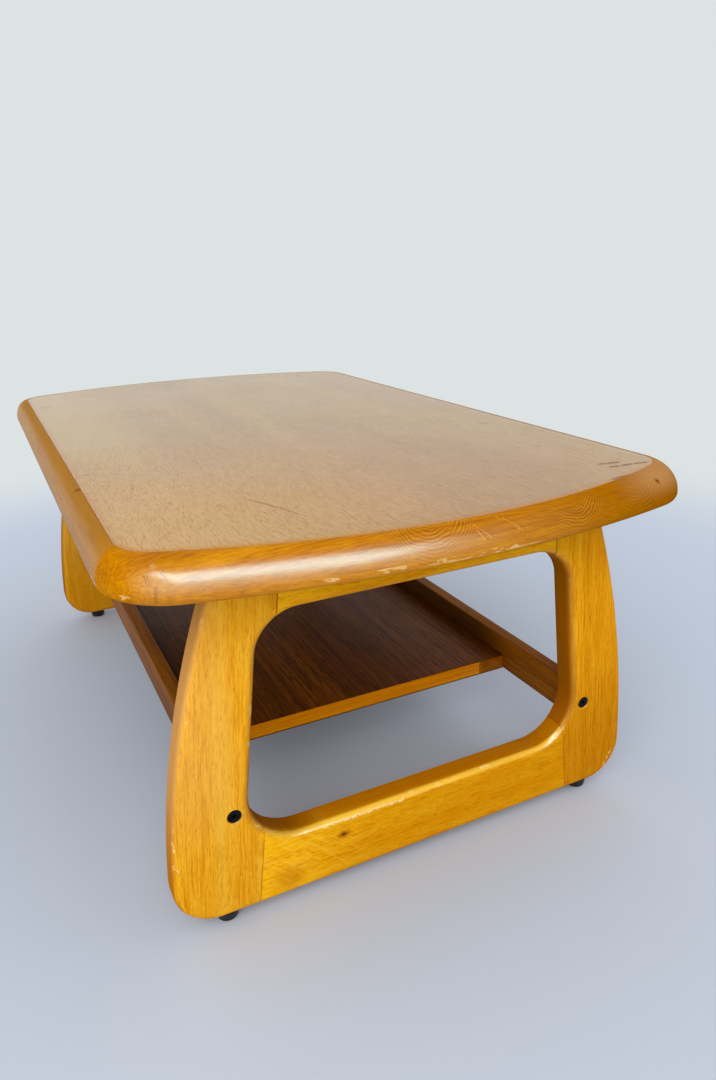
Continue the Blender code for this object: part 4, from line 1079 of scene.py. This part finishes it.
def buildFloor(plan):  # fades into the background away from the table
    bm = bmesh.new()
    bmesh.ops.create_circle(bm, cap_ends=True, segments=plan["floorSteps"], radius=plan["floorRadius"])
    floor = placed("floor", meshFrom(bm, "floor"))
    made = newSkin("pale_floor")
    far = ease(reach(made["at"], (0, 0, 0)), plan["fadeFrom"], plan["fadeTo"])
    fleck = (speckle(made["at"], (500, 500, 500), 2.0) - 0.5) * 0.3 + 0.1
    setShader(made, {"Base Color": mixed(fleck, plan["floor"], plan["fleck"]), "Roughness": 0.9,
                     "Specular IOR Level": 0.1})
    tree = made["skin"].node_tree
    plain = Sock(tree, made["shader"].outputs[0])
    glow = far.node("Emission", {}, {"Color": plan["background"], "Strength": 1.0})
    both = far.node("MixShader", {}, {0: far * seenRays(far), 1: plain, 2: glow})
    feed(tree.nodes["Material Output"].inputs, {"Surface": both})
    floor.data.materials.append(made["skin"])


def buildWorld(plan):
    world = bpy.data.worlds.new("pale_room")
    bpy.context.scene.world = world
    world.use_nodes = True
    root = Sock(world.node_tree)
    wall = root.node("Background", {}, {"Color": plan["background"], "Strength": 1.0})
    fill = root.node("Background", {}, {"Color": plan["ambientTone"], "Strength": plan["ambient"]})
    both = root.node("MixShader", {}, {0: seenRays(root), 1: fill, 2: wall})
    feed(world.node_tree.nodes["World Output"].inputs, {"Surface": both})


def hangLamp(name, lamp):
    light = bpy.data.lights.new(name, "AREA")
    light.shape = "RECTANGLE"
    light.size, light.size_y = lamp["size"]
    light.energy = lamp["power"]
    light.color = lamp["tone"]
    made = placed(name, light)
    turn = (Vector(lamp["aim"]) - Vector(lamp["at"])).to_track_quat("-Z", "Y").to_matrix()
    turn = turn @ Matrix.Rotation(math.radians(lamp["roll"]), 3, "Z")
    made.matrix_world = Matrix.Translation(lamp["at"]) @ turn.to_4x4()
    made.visible_camera = False
    made.visible_glossy = "glossOf" in lamp
    if "glossOf" in lamp:  # a highlight for these pieces alone
        made.visible_diffuse = False
        lit = bpy.data.collections.new("lit_by_" + name)
        for piece in lamp["glossOf"]:
            lit.objects.link(bpy.data.objects[piece])
        made.light_linking.receiver_collection = lit


def buildCamera(plan):
    heading, down, roll = [math.radians(plan[key]) for key in ("heading", "down", "roll")]
    ahead = Vector((math.cos(heading) * math.cos(down), math.sin(heading) * math.cos(down), -math.sin(down)))
    level = ahead.cross(Vector((0, 0, 1))).normalized()
    drop = ahead.cross(level)
    across = level * math.cos(roll) + drop * math.sin(roll)
    upright = level * math.sin(roll) - drop * math.cos(roll)
    lens = bpy.data.cameras.new("camera")
    lens.sensor_width = plan["sensor"]
    lens.lens = plan["sensor"] * plan["focal"] / plan["imageHeight"]
    camera = placed("camera", lens)
    turn = Matrix((across, upright, -ahead)).transposed()
    camera.matrix_world = Matrix.Translation(plan["at"]) @ turn.to_4x4()
    bpy.context.scene.camera = camera


buildFloor(stagePlan)
buildWorld(stagePlan)
for name, lamp in lamps.items():
    hangLamp(name, lamp)
buildCamera(cameraPlan)
bpy.context.scene.view_settings.view_transform = "Standard"
print("stage, light and camera set")
